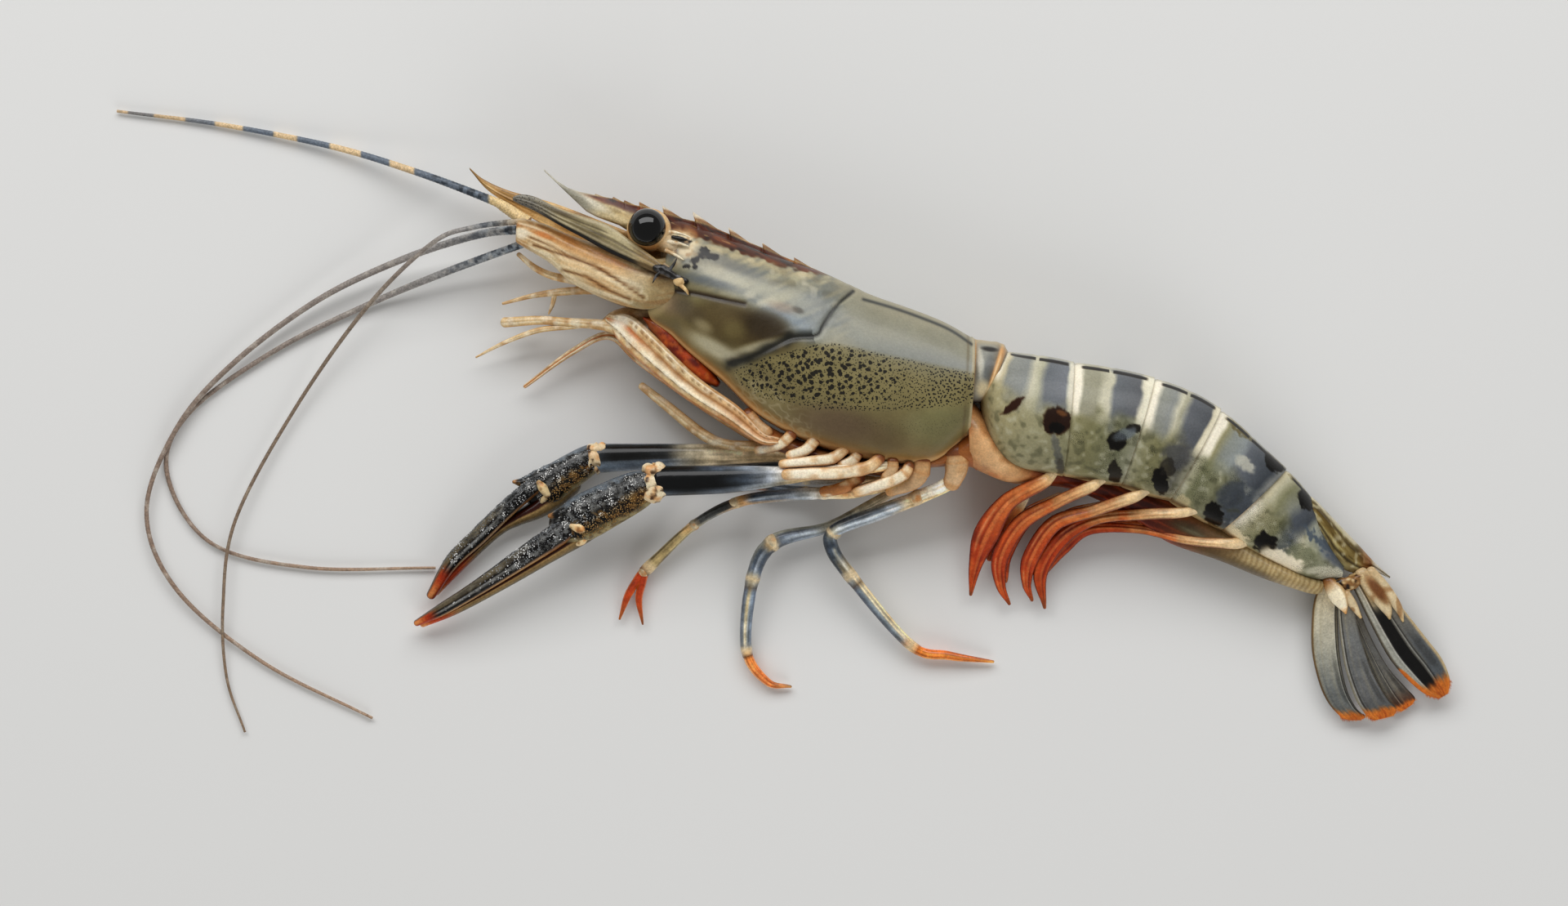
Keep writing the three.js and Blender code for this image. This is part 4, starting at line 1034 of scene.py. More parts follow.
# wrists: cream hinges between arm and palm
wrists = {
    "Left": [
        [[-46.6, -18, 11.6, 1.5, 1.6], [-48, -18.6, 12, 2, 1.8], [-49.4, -17.8, 11.4, 1.2, 1.4]],
        [[-46.4, -20.4, 11.4, 1.6, 1.8], [-47.8, -20.8, 11.6, 2.4, 2.3], [-49.4, -21.4, 11.2, 2.4, 2.2]],
        [[-45.6, -22.2, 11.6, 1.3, 1.6], [-47.6, -22.8, 12.2, 2, 2], [-49.8, -23.6, 11.6, 1.4, 1.5],
            [-51, -24.6, 10.8, 0.7, 0.9]],
    ],
    "Right": [
        [[-59, -13.6, 4.6, 1.2, 1.5], [-60.4, -13.8, 4.8, 1.5, 1.7], [-61.6, -13.6, 4.6, 1, 1.2]],
        [[-59.2, -15.6, 4.2, 1.8, 2], [-60.4, -15.8, 4.4, 2.4, 2.4], [-61.8, -16, 4.2, 2.6, 2.2]],
        [[-59, -17.4, 4, 1.2, 1.5], [-60.4, -17.4, 4.2, 1.6, 1.7], [-62, -18, 4, 0.9, 1.2]],
    ],
}


def paintWrist(g):
    return coats(plain(len(g["x"]), (224, 202, 168)), [
        ((214, 150, 98), fade(0.5, 0.8, cloud(g["p"], 1.2, 3)) * 0.6),
        ((240, 228, 200), fade(0.45, 0.8, cloud(g["p"], 1.5, 7)) * 0.8),
        ((64, 44, 30), fade(0.36, 0.16, cloud(g["p"], 0.9, 9)) * 0.85),
    ])


for side, rows in wrists.items():
    addPiece("clawWrist" + side, [tube(r, 12, 40, lumpy(0.5, k)) for k, r in enumerate(rows)],
        paintWrist, "cream", "arm_shell")

claws = {
    "Left": {
        "palm": [[-47.6, -20.6, 10.8, 2.6, 2.4], [-49, -21.2, 10.6, 3.3, 2.9],
            [-52, -22.6, 10.2, 4.2, 3.4], [-58, -25.6, 9.4, 4.75, 3.8], [-63, -28.2, 8.6, 4.9, 3.6],
            [-66.6, -30, 7.8, 4, 3]],
        "fixed": [[-60.4, -29.6, 8, 2.4, 2.6], [-64, -32.4, 7.6, 1.9, 2], [-69.5, -35.9, 7, 1.45, 1.7],
            [-80.6, -42.5, 5, 1.15, 1.5], [-90, -47.6, 3.4, 1, 1.3], [-97.2, -50.7, 2.2, 0.75, 0.9]],
        "corner": [[-57, -23.8, 9.2, 3.2, 2.8], [-63, -26.1, 9, 2.8, 2.5], [-67.4, -27.5, 8.8, 1.7, 1.8],
            [-70, -27.8, 8.6, 0.5, 0.8]],
        "finger": [[-65.6, -29.8, 9, 2.3, 2.4], [-68.5, -31.8, 9, 2.5, 2.5],
            [-74.8, -36, 8.2, 2.25, 2.2], [-85.9, -43.3, 6.2, 1.65, 1.8], [-93, -47.6, 4.6, 1.35, 1.5],
            [-98.4, -50.5, 3.2, 0.7, 0.8]],
        "hinge": [[-61.8, -29.9, 10.2, 0.9, 1], [-63.4, -30.2, 11.2, 1.2, 1],
            [-65.2, -29.8, 10.8, 0.8, 0.9]],
        "hingeLow": [[-62.4, -31.4, 9.6, 0.8, 0.9], [-63.2, -33, 9, 0.9, 0.9],
            [-64.6, -33.6, 8.4, 0.6, 0.7]],
    },
    "Right": {
        "palm": [[-60.6, -15.6, 3.8, 2.8, 2.2], [-62, -16, 3.9, 3.2, 2.6], [-66.4, -18.8, 4, 3.7, 3.1],
            [-70.4, -21.6, 3.9, 4, 3], [-73, -23.4, 3, 3, 1.9]],
        "fixed": [[-66, -21, 3.4, 2.6, 2.4], [-69.6, -24, 3.4, 2.6, 2.2], [-73, -26.4, 3.2, 2.1, 2],
            [-77.2, -28.5, 2.8, 1.5, 1.7], [-81.2, -31.1, 2.4, 1.05, 1.5], [-88, -37.4, 1.9, 0.9, 1.3],
            [-94.4, -44, 1.6, 0.75, 0.9]],
        "corner": [[-65, -17.8, 4.2, 2.8, 2.6], [-71, -19.7, 4.3, 2.5, 2.3],
            [-75.4, -20.7, 4.2, 1.3, 1.4], [-77.8, -20.6, 4.2, 0.4, 0.6]],
        "finger": [[-72.6, -21, 5.2, 1.6, 1.8], [-75.2, -22.8, 5.2, 1.85, 2], [-80, -27, 4.8, 1.9, 2],
            [-85.2, -32, 4.2, 1.9, 1.9], [-91, -37.6, 3.4, 1.6, 1.7], [-95.4, -44.6, 2.6, 1, 1]],
        "hinge": [[-70.6, -23.2, 6.2, 0.8, 0.9], [-71.6, -21.8, 6.8, 1, 1],
            [-72.4, -20.8, 6.6, 0.6, 0.8]],
        "hingeLow": [[-70.2, -22.4, 5.8, 0.5, 0.7], [-71.2, -24, 5.6, 0.7, 0.7],
            [-71.8, -24.8, 5.2, 0.4, 0.5]],
    },
}


def paintPalm(g):
    u, c, p, part = g["u"], g["c"], g["p"], g["part"]
    black = plain(len(u), (14, 14, 17))
    amber = fade(-0.25, 0.45, c) * fade(0.8, 0.3, u)
    colour = put(black, (58, 34, 16), amber * fade(0.3, 0.7, cloud(p, 1.4, 4)) * 0.95)
    colour = put(colour, (158, 138, 96), amber * fade(0.62, 0.85, cloud(p, 0.9, 14)) * 0.6)
    flecks = cloud(p, 0.6, 21)
    colour = coats(colour, [
        ((134, 136, 138), fade(0.52, 0.66, flecks) * fade(0.25, -0.15, c) * 0.75),
        ((160, 122, 70), fade(0.54, 0.68, flecks) * fade(-0.15, 0.2, c) * 0.7),
    ])
    rim = c + (cloud(p, 1.6, 15) - 0.5) * 0.4
    colour = coats(colour, [
        ((162, 150, 114), fade(0.62, 0.86, rim) * 0.95),
        ((84, 70, 48), fade(0.62, 0.86, rim) * fade(0.5, 0.75, cloud(p, 0.9, 16)) * 0.6),
        ((116, 126, 138), fade(-0.62, -0.85, rim) * 0.85),
        ((158, 146, 112), fade(0.2, 0.03, u) * fade(0, 0.5, c) * 0.8),
    ])
    # the fixed finger: maroon inside, cream and grey-brown along its outer edge, orange at the tip
    streak = streaks(u * 5, c * 4, u * 0, 17)
    side = put(plain(len(u), (66, 24, 12)), (150, 74, 36), fade(0.5, 0.8, streak) * 0.7)
    side = put(side, (146, 128, 94), fade(-0.05, 0.35, c + (streak - 0.5) * 0.5) * 0.9)
    side = put(side, (100, 94, 80), fade(0.6, 0.9, c) * 0.85)
    side = put(side, (202, 168, 118), bell(c, 0.2, 0.12) * fade(0.15, 0.3, u) * 0.6)
    side = put(side, (20, 12, 10), fade(-0.45, -0.8, c) * 0.85)
    side = put(side, (186, 72, 30), fade(0.76, 0.9, u) * 0.9)
    side = put(side, (232, 168, 116), fade(0.93, 1, u) * 0.85)
    colour = np.where((part == 1)[:, None], side, colour)
    tip = fade(0.8, 1, u) * (part == 2)
    colour = put(colour, (206, 152, 104), tip * 0.8)
    return colour


def paintFinger(g):
    u, c, p = g["u"], g["c"], g["p"]
    streak = streaks(u * 7, c * 4, u * 0, 18)
    colour = coats(plain(len(u), (15, 15, 18)), [
        ((138, 140, 142), fade(0.54, 0.68, cloud(p, 0.6, 22)) * fade(0.78, 0.5, u) * fade(0.7, 0.5, c)
            * 0.75),
        ((88, 94, 104), fade(-0.55, -0.85, c) * 0.7),
        ((98, 84, 62), fade(0.35, 0.6, u) * fade(0.05, -0.35, c) * fade(0.3, 0.7, streak) * 0.9),
        ((214, 214, 212), bell(c, 0.22, 0.11) * fade(0.3, 0.55, u) * fade(0.95, 0.8, u)
            * fade(0.15, 0.5, streak) * 0.9),
        ((132, 124, 108), fade(0.3, 0.5, u) * fade(-0.1, -0.4, c) * fade(-0.95, -0.8, c) * 0.55),
        ((152, 108, 68), fade(0.68, 0.86, c) * fade(0.2, 0.6, streak + 0.15) * 0.9),
        ((206, 176, 130), bell(c, 0.9, 0.08) * fade(0.25, 0.4, u) * 0.6),
    ])
    start = 0.8
    return coats(colour, [
        ((176, 62, 26), fade(start, start + 0.1, u) * fade(-0.95, -0.3, c) * 0.92),
        ((228, 158, 106), fade(start + 0.08, 1, u) * fade(0.9, 0.3, np.abs(c)) * 0.9),
    ])


def paintHingeKnob(g):
    return coats(plain(len(g["x"]), (238, 212, 168)), [
        ((206, 132, 76), fade(0.6, 0.85, cloud(g["p"], 0.9, 5)) * 0.6),
        ((120, 84, 54), fade(0.3, 0.15, cloud(g["p"], 0.8, 6)) * 0.6),
    ])


def openTree(name, source, sizes, made):
    # a tree that takes a shape, its sizes and a material, and gives back a shape
    tree = bpy.data.node_groups.new(name, "GeometryNodeTree")
    face = tree.interface
    face.new_socket(source, in_out="INPUT", socket_type="NodeSocketGeometry")
    for label, value in sizes.items():
        kind = "NodeSocketInt" if isinstance(value, int) else "NodeSocketFloat"
        face.new_socket(label, in_out="INPUT", socket_type=kind).default_value = value
    face.new_socket("Surface", in_out="INPUT", socket_type="NodeSocketMaterial")
    face.new_socket(made, in_out="OUTPUT", socket_type="NodeSocketGeometry")

    def node(kind, links=None, **settings):
        return addNode(tree, kind, links, **settings)

    return tree, node("NodeGroupInput"), node


def closeTree(tree, given, shape):
    # the shape made real and smooth, and given its material
    real = addNode(tree, "GeometryNodeRealizeInstances", {0: shape})
    smooth = addNode(tree, "GeometryNodeSetShadeSmooth", {"Geometry": real.outputs[0]})
    dressed = addNode(tree, "GeometryNodeSetMaterial",
        {"Geometry": smooth.outputs[0], "Material": given.outputs["Surface"]})
    result = tree.nodes.new("NodeGroupOutput")
    tree.links.new(dressed.outputs[0], result.inputs[0])
    return tree


def bumpTree():
    # small round bumps spread over a shell: seeds, size and density are inputs of the tree
    sizes = {"Spacing": 0.0006, "Largest": 0.0003, "Smallest": 0.0002, "Height": 0.7, "Seed": 3}
    tree, given, node = openTree("clawBumps", "Shell", sizes, "Bumps")
    mask = node("GeometryNodeInputNamedAttribute", data_type="FLOAT")
    mask.inputs["Name"].default_value = "bumpy"
    points = node("GeometryNodeDistributePointsOnFaces",
        {"Mesh": given.outputs["Shell"], "Distance Min": given.outputs["Spacing"],
            "Density Max": 6000000, "Density Factor": mask.outputs["Attribute"],
            "Seed": given.outputs["Seed"]}, distribute_method="POISSON")
    dome = node("GeometryNodeMeshIcoSphere", {"Radius": 1, "Subdivisions": 1})
    size = node("FunctionNodeRandomValue", {2: given.outputs["Smallest"],
        3: given.outputs["Largest"], "Seed": given.outputs["Seed"]}, data_type="FLOAT")
    high = node("ShaderNodeMath", {0: size.outputs[1], 1: given.outputs["Height"]},
        operation="MULTIPLY")
    scale = node("ShaderNodeCombineXYZ", {0: size.outputs[1], 1: size.outputs[1],
        2: high.outputs[0]})
    spread = node("GeometryNodeInstanceOnPoints",
        {"Points": points.outputs["Points"], "Instance": dome.outputs["Mesh"],
            "Rotation": points.outputs["Rotation"], "Scale": scale.outputs[0]})
    return closeTree(tree, given, spread.outputs[0])


def runTree(name, source, tree, values):
    # puts the tree on the source, reads the result as a plain mesh, and takes the modifier off again
    modifier = source.modifiers.new("made", "NODES")
    modifier.node_group = tree
    for item in tree.interface.items_tree:
        if item.item_type == "SOCKET" and item.in_out == "INPUT" and item.name in values:
            modifier[item.identifier] = values[item.name]
    bpy.context.view_layer.update()
    graph = bpy.context.evaluated_depsgraph_get()
    mesh = bpy.data.meshes.new_from_object(source.evaluated_get(graph), preserve_all_data_layers=True,
        depsgraph=graph)
    source.modifiers.remove(modifier)
    mesh.name = name
    return link(name, mesh)


def addMask(obj, values):
    # where the bumps grow; the points that close the ends have none
    padded = np.zeros(len(obj.data.vertices))
    padded[:len(values)] = values
    writeData(obj.data, "bumpy", "FLOAT", "value", padded)


bumps = bumpTree()


def paintBumps(obj, near):
    # silver, whiter and darker at random, amber low on the palm
    p = pointsOf(obj)
    pick = cloud(p, 1.1, 6)
    colour = coats(plain(len(p), (126, 129, 134)), [
        ((226, 226, 224), fade(0.5, 0.72, pick)),
        ((50, 52, 56), fade(0.44, 0.28, pick) * 0.9),
    ])
    d, _ = fromPath(p[:, 0], p[:, 1], near)
    amber = fade(0, 2.2, 3.4 - d)
    writePaint(obj, put(colour, (150, 116, 66), amber * 0.9))


lowPalm = {"Left": [(-50.5, -24.4), (-56, -28.6), (-62, -32)],
    "Right": [(-64, -20.4), (-68, -23.6), (-70, -26)]}
for side, claw in claws.items():
    low = side.lower()
    palm = [tube(claw["palm"], 14, 56, None, 0.9), tube(claw["fixed"], 14, 32),
        tube(claw["corner"], 10, 28)]
    palmPiece = makeMesh("clawPalm" + side, palm, paintPalm, "claw")
    table = flat(palm)
    mask = fade(0.93, 0.75, np.abs(table["c"])) * fade(0.02, 0.12,
        table["u"]) * (table["part"] == 0) * fade(1, 0.93, table["u"])
    mask = np.maximum(mask, (table["part"] == 2) * fade(0.85, 0.6, table["u"]))
    addMask(palmPiece, mask)
    palmBumps = runTree("clawPalmBumps" + side, palmPiece, bumps,
        {"Surface": materials["bump"], "Seed": 5, "Spacing": 0.00028, "Largest": 0.00022,
        "Smallest": 0.0001, "Height": 0.6})
    paintBumps(palmBumps, lowPalm[side])
    finger = [tube(claw["finger"], 16, 40)]
    fingerPiece = makeMesh("clawFinger" + side, finger, paintFinger, "claw")
    table = flat(finger)
    upTo = fade(0.86, 0.76, table["u"]) if side == "Right" else fade(0.62, 0.42, table["u"])
    ridge = bell(table["c"], 0.2, 0.16) * fade(0.84, 0.74, table["u"]) * 0.8
    addMask(fingerPiece, np.maximum(fade(0.75, 0.5, table["c"]) * upTo, ridge))
    fingerBumps = runTree("clawFingerBumps" + side, fingerPiece, bumps,
        {"Surface": materials["bump"], "Seed": 8, "Spacing": 0.00025, "Largest": 0.0002,
        "Smallest": 0.00009, "Height": 0.6})
    paintBumps(fingerBumps, [(0, 40), (1, 40)])
    knobs = [tube(claw["hinge"], 8, 20), tube(claw["hingeLow"], 8, 16)]
    finishPiece(palmPiece, "claw_shell", "claw_" + low + "_palm")
    finishPiece(palmBumps, "claw_shell")
    finishPiece(fingerPiece, "claw_shell", "claw_" + low + "_finger")
    finishPiece(fingerBumps, "claw_shell")
    addPiece("clawHinge" + side, knobs, paintHingeKnob, "cream", "arm_shell")
print("claws")

legs = {
    "pincer_leg_left": {
        "rows": [[8, -17, 14.2, 1, 1], [5.4, -18.8, 14, 1.2, 1.2], [-4.6, -22.4, 13.2, 1.35, 1.3],
            [-12, -22.9, 11.8, 1.3, 1.3], [-21, -23.4, 9.6, 1.3, 1.3], [-30.4, -24.9, 7, 1.15, 1.2],
            [-39.6, -29.7, 4.8, 1, 1.1], [-50.2, -39.6, 2.2, 1.25, 1.3]],
        "stops": [
            (0, cream), (0.28, paleCream), (0.34, (186, 140, 96)), (0.4, (226, 206, 172)),
            (0.46, (206, 206, 200)), (0.54, (124, 134, 148)), (0.66, (74, 84, 98)), (0.7, (206, 156, 104)),
            (0.74, (52, 54, 56)), (0.84, (84, 86, 88)), (0.87, (206, 168, 118)), (0.9, (164, 148, 112)),
            (0.98, (160, 142, 104)), (1, (150, 88, 50)),
        ],
        # the pale stripe along the grey segment (u 0.5 to 0.68) is a painted highlight; the other two are
        # the leg's own colour
        "stripesAndHighlights": ((0.25, 0.3, 0.88, 0.975, (206, 184, 138)), (-0.75, 0.12, 0.88, 0.975, (60, 54, 46)),
            (0.1, 0.2, 0.5, 0.68, (190, 196, 200))),
        "edges": [(0, cream), (0.34, cream), (0.5, (150, 158, 166)), (0.7, (150, 120, 90)),
            (0.8, (110, 112, 112)), (0.9, (150, 140, 112)), (1, (150, 130, 96))],
        "joints": (0.43, 0.715, 0.857, 0.985),
    },
    "walking_leg_left_5": {
        "rows": [[14.8, -17.2, 13.6, 1.7, 1.5], [14.6, -20.4, 13.4, 1.5, 1.4],
            [7.4, -23.9, 11.4, 1.5, 1.5], [-1, -27.2, 9.4, 1.6, 1.6], [-9.6, -30.7, 7.6, 1.4, 1.4],
            [-10.6, -34.2, 6.2, 1.5, 1.5], [-6.6, -40.4, 5, 1.4, 1.4], [6.2, -55.2, 2.2, 1.1, 1.1],
            [14.5, -57.5, 1.5, 0.95, 1], [23.8, -58.8, 0.8, 0.3, 0.4]],
        "stops": [(0, (206, 160, 112)), (0.1, (214, 180, 134)), (0.17, (206, 200, 186)),
            (0.24, (232, 206, 162)), (0.28, (150, 160, 170)), (0.33, (118, 130, 146)),
            (0.4, (78, 88, 102)), (0.46, (180, 176, 158)), (0.5, (96, 104, 112)),
            (0.54, (62, 72, 86)), (0.6, (78, 88, 102)), (0.655, (150, 138, 116)),
            (0.67, (106, 116, 126)), (0.76, (110, 118, 124)), (0.785, (196, 112, 52)),
            (0.88, orange), (0.96, (196, 106, 46)), (1, (196, 140, 80))],
        # the pale stripe on the thigh (u 0.27 to 0.44) is a painted highlight; the others are the leg's own
        # stripes
        "stripesAndHighlights": ((0.2, 0.24, 0.56, 0.66, (186, 184, 172)), (0.28, 0.26, 0.665, 0.77, (222, 200, 160)),
            (0.3, 0.3, 0.27, 0.44, (190, 196, 198)), (0, 0.2, 0.8, 0.98, (226, 156, 92))),
        "edges": [(0, tan), (0.25, cream), (0.3, (170, 176, 180)), (0.44, (120, 128, 136)),
            (0.6, (84, 92, 102)), (0.67, (206, 186, 150)), (0.77, (206, 180, 136)), (0.8, (184, 96, 44)),
            (1, (170, 96, 48))],
        "lowEdges": [(0, tan), (0.25, (206, 200, 188)), (0.4, (60, 68, 80)), (0.6, (60, 70, 84)),
            (0.68, (80, 90, 106)), (0.76, (88, 94, 104)), (0.79, (206, 130, 70)), (1, (206, 140, 80))],
        "joints": (0.225, 0.465, 0.665, 0.78),
    },
    "walking_leg_left_4": {
        "rows": [[6, -20, 7.4, 1, 1.1], [4, -21.6, 7, 1, 1.1], [-4, -26.4, 5, 1.1, 1.1],
            [-12, -30.4, 4.2, 1.15, 1.2], [-22.8, -33.4, 5.4, 1.7, 1.6],
            [-27.2, -41, 4.4, 1.45, 1.4], [-28.6, -56, 1.9, 1.15, 1.2],
            [-24.2, -63, 1.1, 0.85, 0.9], [-19.2, -64.1, 0.7, 0.3, 0.4]],
        "stops": [
            (0, tan), (0.3, (150, 150, 140)), (0.36, (176, 172, 154)), (0.42, (110, 120, 134)),
            (0.48, (90, 100, 116)), (0.51, (232, 202, 152)), (0.54, (70, 80, 94)), (0.6, (84, 94, 108)),
            (0.625, (150, 142, 120)), (0.645, (104, 114, 126)), (0.74, (108, 116, 124)),
            (0.757, (176, 140, 96)), (0.78, (206, 116, 62)), (0.86, (206, 112, 66)), (0.9, (178, 86, 44)),
            (1, (206, 156, 104)),
        ],
        "edges": [(0, tan), (0.4, (120, 128, 136)), (0.5, (70, 76, 86)), (0.6, (84, 94, 108)),
            (0.65, (100, 112, 128)), (0.75, (104, 114, 126)), (0.78, (190, 110, 62)),
            (1, (196, 140, 92))],
        "lowEdges": [(0, tan), (0.4, (140, 142, 136)), (0.5, (150, 150, 140)), (0.6, (100, 106, 114)),
            (0.65, (90, 100, 116)), (0.75, (100, 106, 114)), (0.78, (220, 150, 100)),
            (1, (206, 140, 92))],
        "joints": (0.505, 0.625, 0.752),
        "stripesAndHighlights": ((-0.1, 0.26, 0.64, 0.74, (214, 194, 152)), (0.1, 0.2, 0.53, 0.61, (176, 182, 188)),
            (0.2, 0.3, 0.4, 0.48, (176, 184, 190)), (0, 0.25, 0.78, 0.97, (228, 162, 104))),
    },
    "walking_leg_left_3": {
        "rows": [[3, -19.6, 10.6, 1, 1], [1.4, -21.4, 9.8, 1, 1], [-6, -22.8, 8.6, 1, 1],
            [-16, -22.6, 5.6, 1, 1], [-28, -21.4, 3.4, 0.7, 0.8]],
        "stops": [(0, tan), (0.4, (196, 170, 132)), (0.6, (120, 128, 138)), (0.9, (96, 106, 120)),
            (1, orange)],
        "joints": (0.5, 0.75),
    },
}
for index, y in ((3, -14.6), (4, -17.4), (5, -20.2)):
    legs["walking_leg_right_%d" % index] = {
        "rows": [[2, y, 1.4, 1, 1], [-16, y, 1, 1, 0.9], [-30, y - 0.6, 0.9, 0.8, 0.8],
            [-42, y - 1.2, 0.8, 0.4, 0.5]],
        "stops": [(0, tan), (0.4, (120, 128, 138)), (0.85, (96, 106, 120)), (1, orange)],
        "joints": (0.33, 0.66),
    }
prongs = {
    "Outer": [[-50.6, -39.8, 2.1, 0.9, 1], [-51.6, -41.2, 1.9, 0.9, 0.95], [-53.8, -44.9, 1.6, 0.8, 0.9],
        [-55.5, -49.7, 1, 0.25, 0.35]],
    "Inner": [[-50.2, -40, 2.1, 0.9, 1], [-50.7, -42.2, 1.9, 0.85, 0.95],
        [-51.4, -45.6, 1.6, 0.75, 0.85], [-50.6, -50.8, 1, 0.22, 0.3]],
}


def paintProng(g):
    u, c = g["u"], g["c"]
    colour = ramp(u, [(0, (150, 74, 38)), (0.2, (176, 68, 32)), (0.7, (184, 78, 36)), (1, (150, 96, 56))])
    colour = put(colour, (214, 128, 74), fade(0.55, 0.85, np.abs(c)) * 0.7)
    return colour * (1 + 0.3 * (cloud(g["p"], 1.2, 3) - 0.5)[:, None])


for name, leg in legs.items():
    grids = [tube(leg["rows"], 14, 28, swellAt([(j,) for j in leg["joints"]], 0.09, 0.011))]
    paint = limbPaint(leg["stops"], leg.get("edges"), 0.5, leg.get("lowEdges"), leg["joints"],
        jointWidth=0.008, roughness=0.35, seed=7, stripesAndHighlights=leg.get("stripesAndHighlights", ()), lift=1.16)
    addPiece(name.replace("_", "") + "Shell", grids, paint, "leg", "leg_shell", name)
addPiece("pincerProngs", [tube(r, 10, 20) for r in prongs.values()], paintProng, "leg", "leg_shell")

# knuckles: small cream sockets where the leg segments meet
knuckles = {
    "walking5a": ((7.4, -23.8, 11.9), (1.5, 1.7, 1.5)),
    "walking5b": ((-9.9, -31.4, 7.2), (1.5, 1.4, 1.5)),
    "walking5c": ((-7.1, -39.9, 5.1), (1.2, 1, 1.3)), "walking5d": ((6.1, -55, 2.3), (0.95, 1, 1.1)),
    "walking4a": ((-23, -33.3, 5.6), (1.5, 1.75, 1.7)),
    "walking4b": ((-27.1, -40.8, 4.4), (1.3, 1, 1.4)), "walking4c": ((-28.5, -56, 2), (1.1, 0.9, 1.2)),
    "pincer2": ((-31, -25, 7), (1.35, 1.1, 1.25)), "pincer3": ((-39.6, -29.7, 4.9), (1.2, 1.2, 1.2)),
    "pincer4": ((-50.3, -39.7, 2.3), (1.2, 1.15, 1.3)),
}


def paintKnuckle(g):
    return coats(plain(len(g["x"]), (216, 194, 160)), [
        ((150, 150, 140), fade(0.45, 0.7, cloud(g["p"], 1.6, 2)) * 0.5),
        ((190, 116, 62), fade(0.5, 0.8, cloud(g["p"], 1, 5)) * 0.6),
        ((240, 222, 186), fade(0.55, 0.8, cloud(g["p"], 1.1, 8)) * 0.7),
    ])


addPiece("legKnuckles", [ball(at, 1, 16, 20, size) for at, size in knuckles.values()], paintKnuckle,
    "cream", "leg_shell")
print("legs")


# mouth limbs

mouthLimbs = {
    "mouth_leg_left": [
        [[-22, -12, 15, 0.9, 1.4], [-25.5, -11.2, 15, 1.3, 1.6], [-31.5, -6.4, 14.8, 2.2, 2],
            [-40.5, -0.4, 14, 2.6, 2.2], [-50.4, 8.4, 12.6, 3.2, 2], [-54.2, 12, 11.8, 2.8, 1.7],
            [-57, 13.4, 11.2, 1.3, 1.1]],
        [[-53, 10.6, 12, 2.2, 1.6], [-57.2, 12.2, 11, 1.3, 1.2], [-65.5, 13, 9, 0.95, 0.9],
            [-72, 13.5, 7.4, 0.95, 0.9], [-79.6, 13.1, 5.6, 1.1, 1]],
        [[-62, 12.4, 9.6, 0.5, 0.6], [-66, 12.1, 8.6, 0.6, 0.6], [-72.5, 11.4, 7, 0.6, 0.6],
            [-79.6, 8.9, 5, 0.45, 0.5], [-85.8, 5.8, 3.4, 0.2, 0.25]],
    ],
    "mouth_leg_right": [
        [[-25, -12, 8.6, 1.4, 1.6], [-37, -4.2, 8.4, 1.6, 1.8], [-50, 5.4, 7.8, 1.9, 1.8],
            [-57.4, 10.3, 6.8, 0.95, 1], [-65.5, 6.8, 5.2, 0.7, 0.7], [-75.5, -0.4, 3, 0.4, 0.45]],
    ],
    "mouth_palp_upper": [
        [[-62, 21.6, 8.8, 1.4, 1], [-65.6, 22.1, 8.4, 1, 0.8], [-69.6, 22.9, 8, 0.8, 0.7],
            [-73.2, 24.6, 7.6, 0.7, 0.6], [-76.6, 27.4, 7.2, 0.5, 0.5]],
    ],
    "mouth_palp_lower": [
        [[-60, 19.9, 8.6, 1, 0.9], [-63.6, 19.8, 8, 0.9, 0.8], [-68.6, 19.4, 7.2, 0.8, 0.7],
            [-73.7, 18.7, 6.4, 0.55, 0.5], [-80, 17.1, 5.4, 0.3, 0.35]],
        [[-69, 19.2, 7, 0.6, 0.6], [-69.5, 16.9, 6.6, 0.45, 0.4], [-70.3, 14.9, 6.2, 0.2, 0.2]],
    ],
    "pincer_leg_right": [
        [[-20, -13.8, 10, 1.1, 1], [-26, -13.1, 9.6, 1.1, 1], [-33, -12.6, 9, 1.05, 1],
            [-38, -10.4, 8.2, 1.2, 1.1], [-44.8, -5, 6.4, 1.1, 1], [-50.6, -0.4, 4.6, 0.85, 0.8]],
    ],
}


def paintMouth(g):
    c, p, x, y = g["c"], g["p"], g["x"], g["y"]
    colour = ramp((c + 1) / 2, [(0, (214, 180, 136)), (0.3, (232, 208, 168)), (0.5, (206, 176, 136)),
        (0.62, (238, 222, 190)), (0.8, (224, 196, 152)), (1, (206, 168, 122))])
    return coats(colour, [
        ((176, 132, 90), fade(0.45, 0.75, cloud(p, 1.5, 4)) * 0.55),
        ((244, 234, 212), fade(0.5, 0.8, cloud(p, 1.2, 14)) * 0.6),
        ((206, 140, 94), fade(-40, -26, x) * (y < 0) * (p[:, 2] > 11) * 0.5),
    ])


def paintMouthLeg(g):
    colour = paintMouth(g)
    x, y, c, part = g["x"], g["y"], g["c"], g["part"]
    main = (part == 0)
    # rows of short bristles show as dark dashes along the two ridges
    dashes = np.sin(g["along"] * 4.2) > 0.1
    for ridge in (-0.42, 0.4):
        colour = put(colour, (110, 76, 48), bell(c, ridge, 0.06) * dashes * main * 0.8)
    return coats(colour, [
        # the brown line in the central furrow is painted shade, and the two near-white lines on the ridges
        # are painted highlights
        ((150, 104, 66), bell(c, -0.1, 0.1) * main * 0.7),
        ((246, 236, 214), bell(c, -0.58, 0.1) * main * 0.6),
        ((246, 236, 214), bell(c, 0.26, 0.09) * main * 0.6),
        ((190, 112, 66), fade(0.72, 0.95, c) * main * 0.5),
        ((206, 104, 48), bell(c, -0.05, 0.07) * main * fade(-47, -53, x) * 0.8),
        ((240, 232, 214), blob(x, y, (-54.8, 13.2), (2, 1.6), 20, 0.5) * 0.8),
    ])


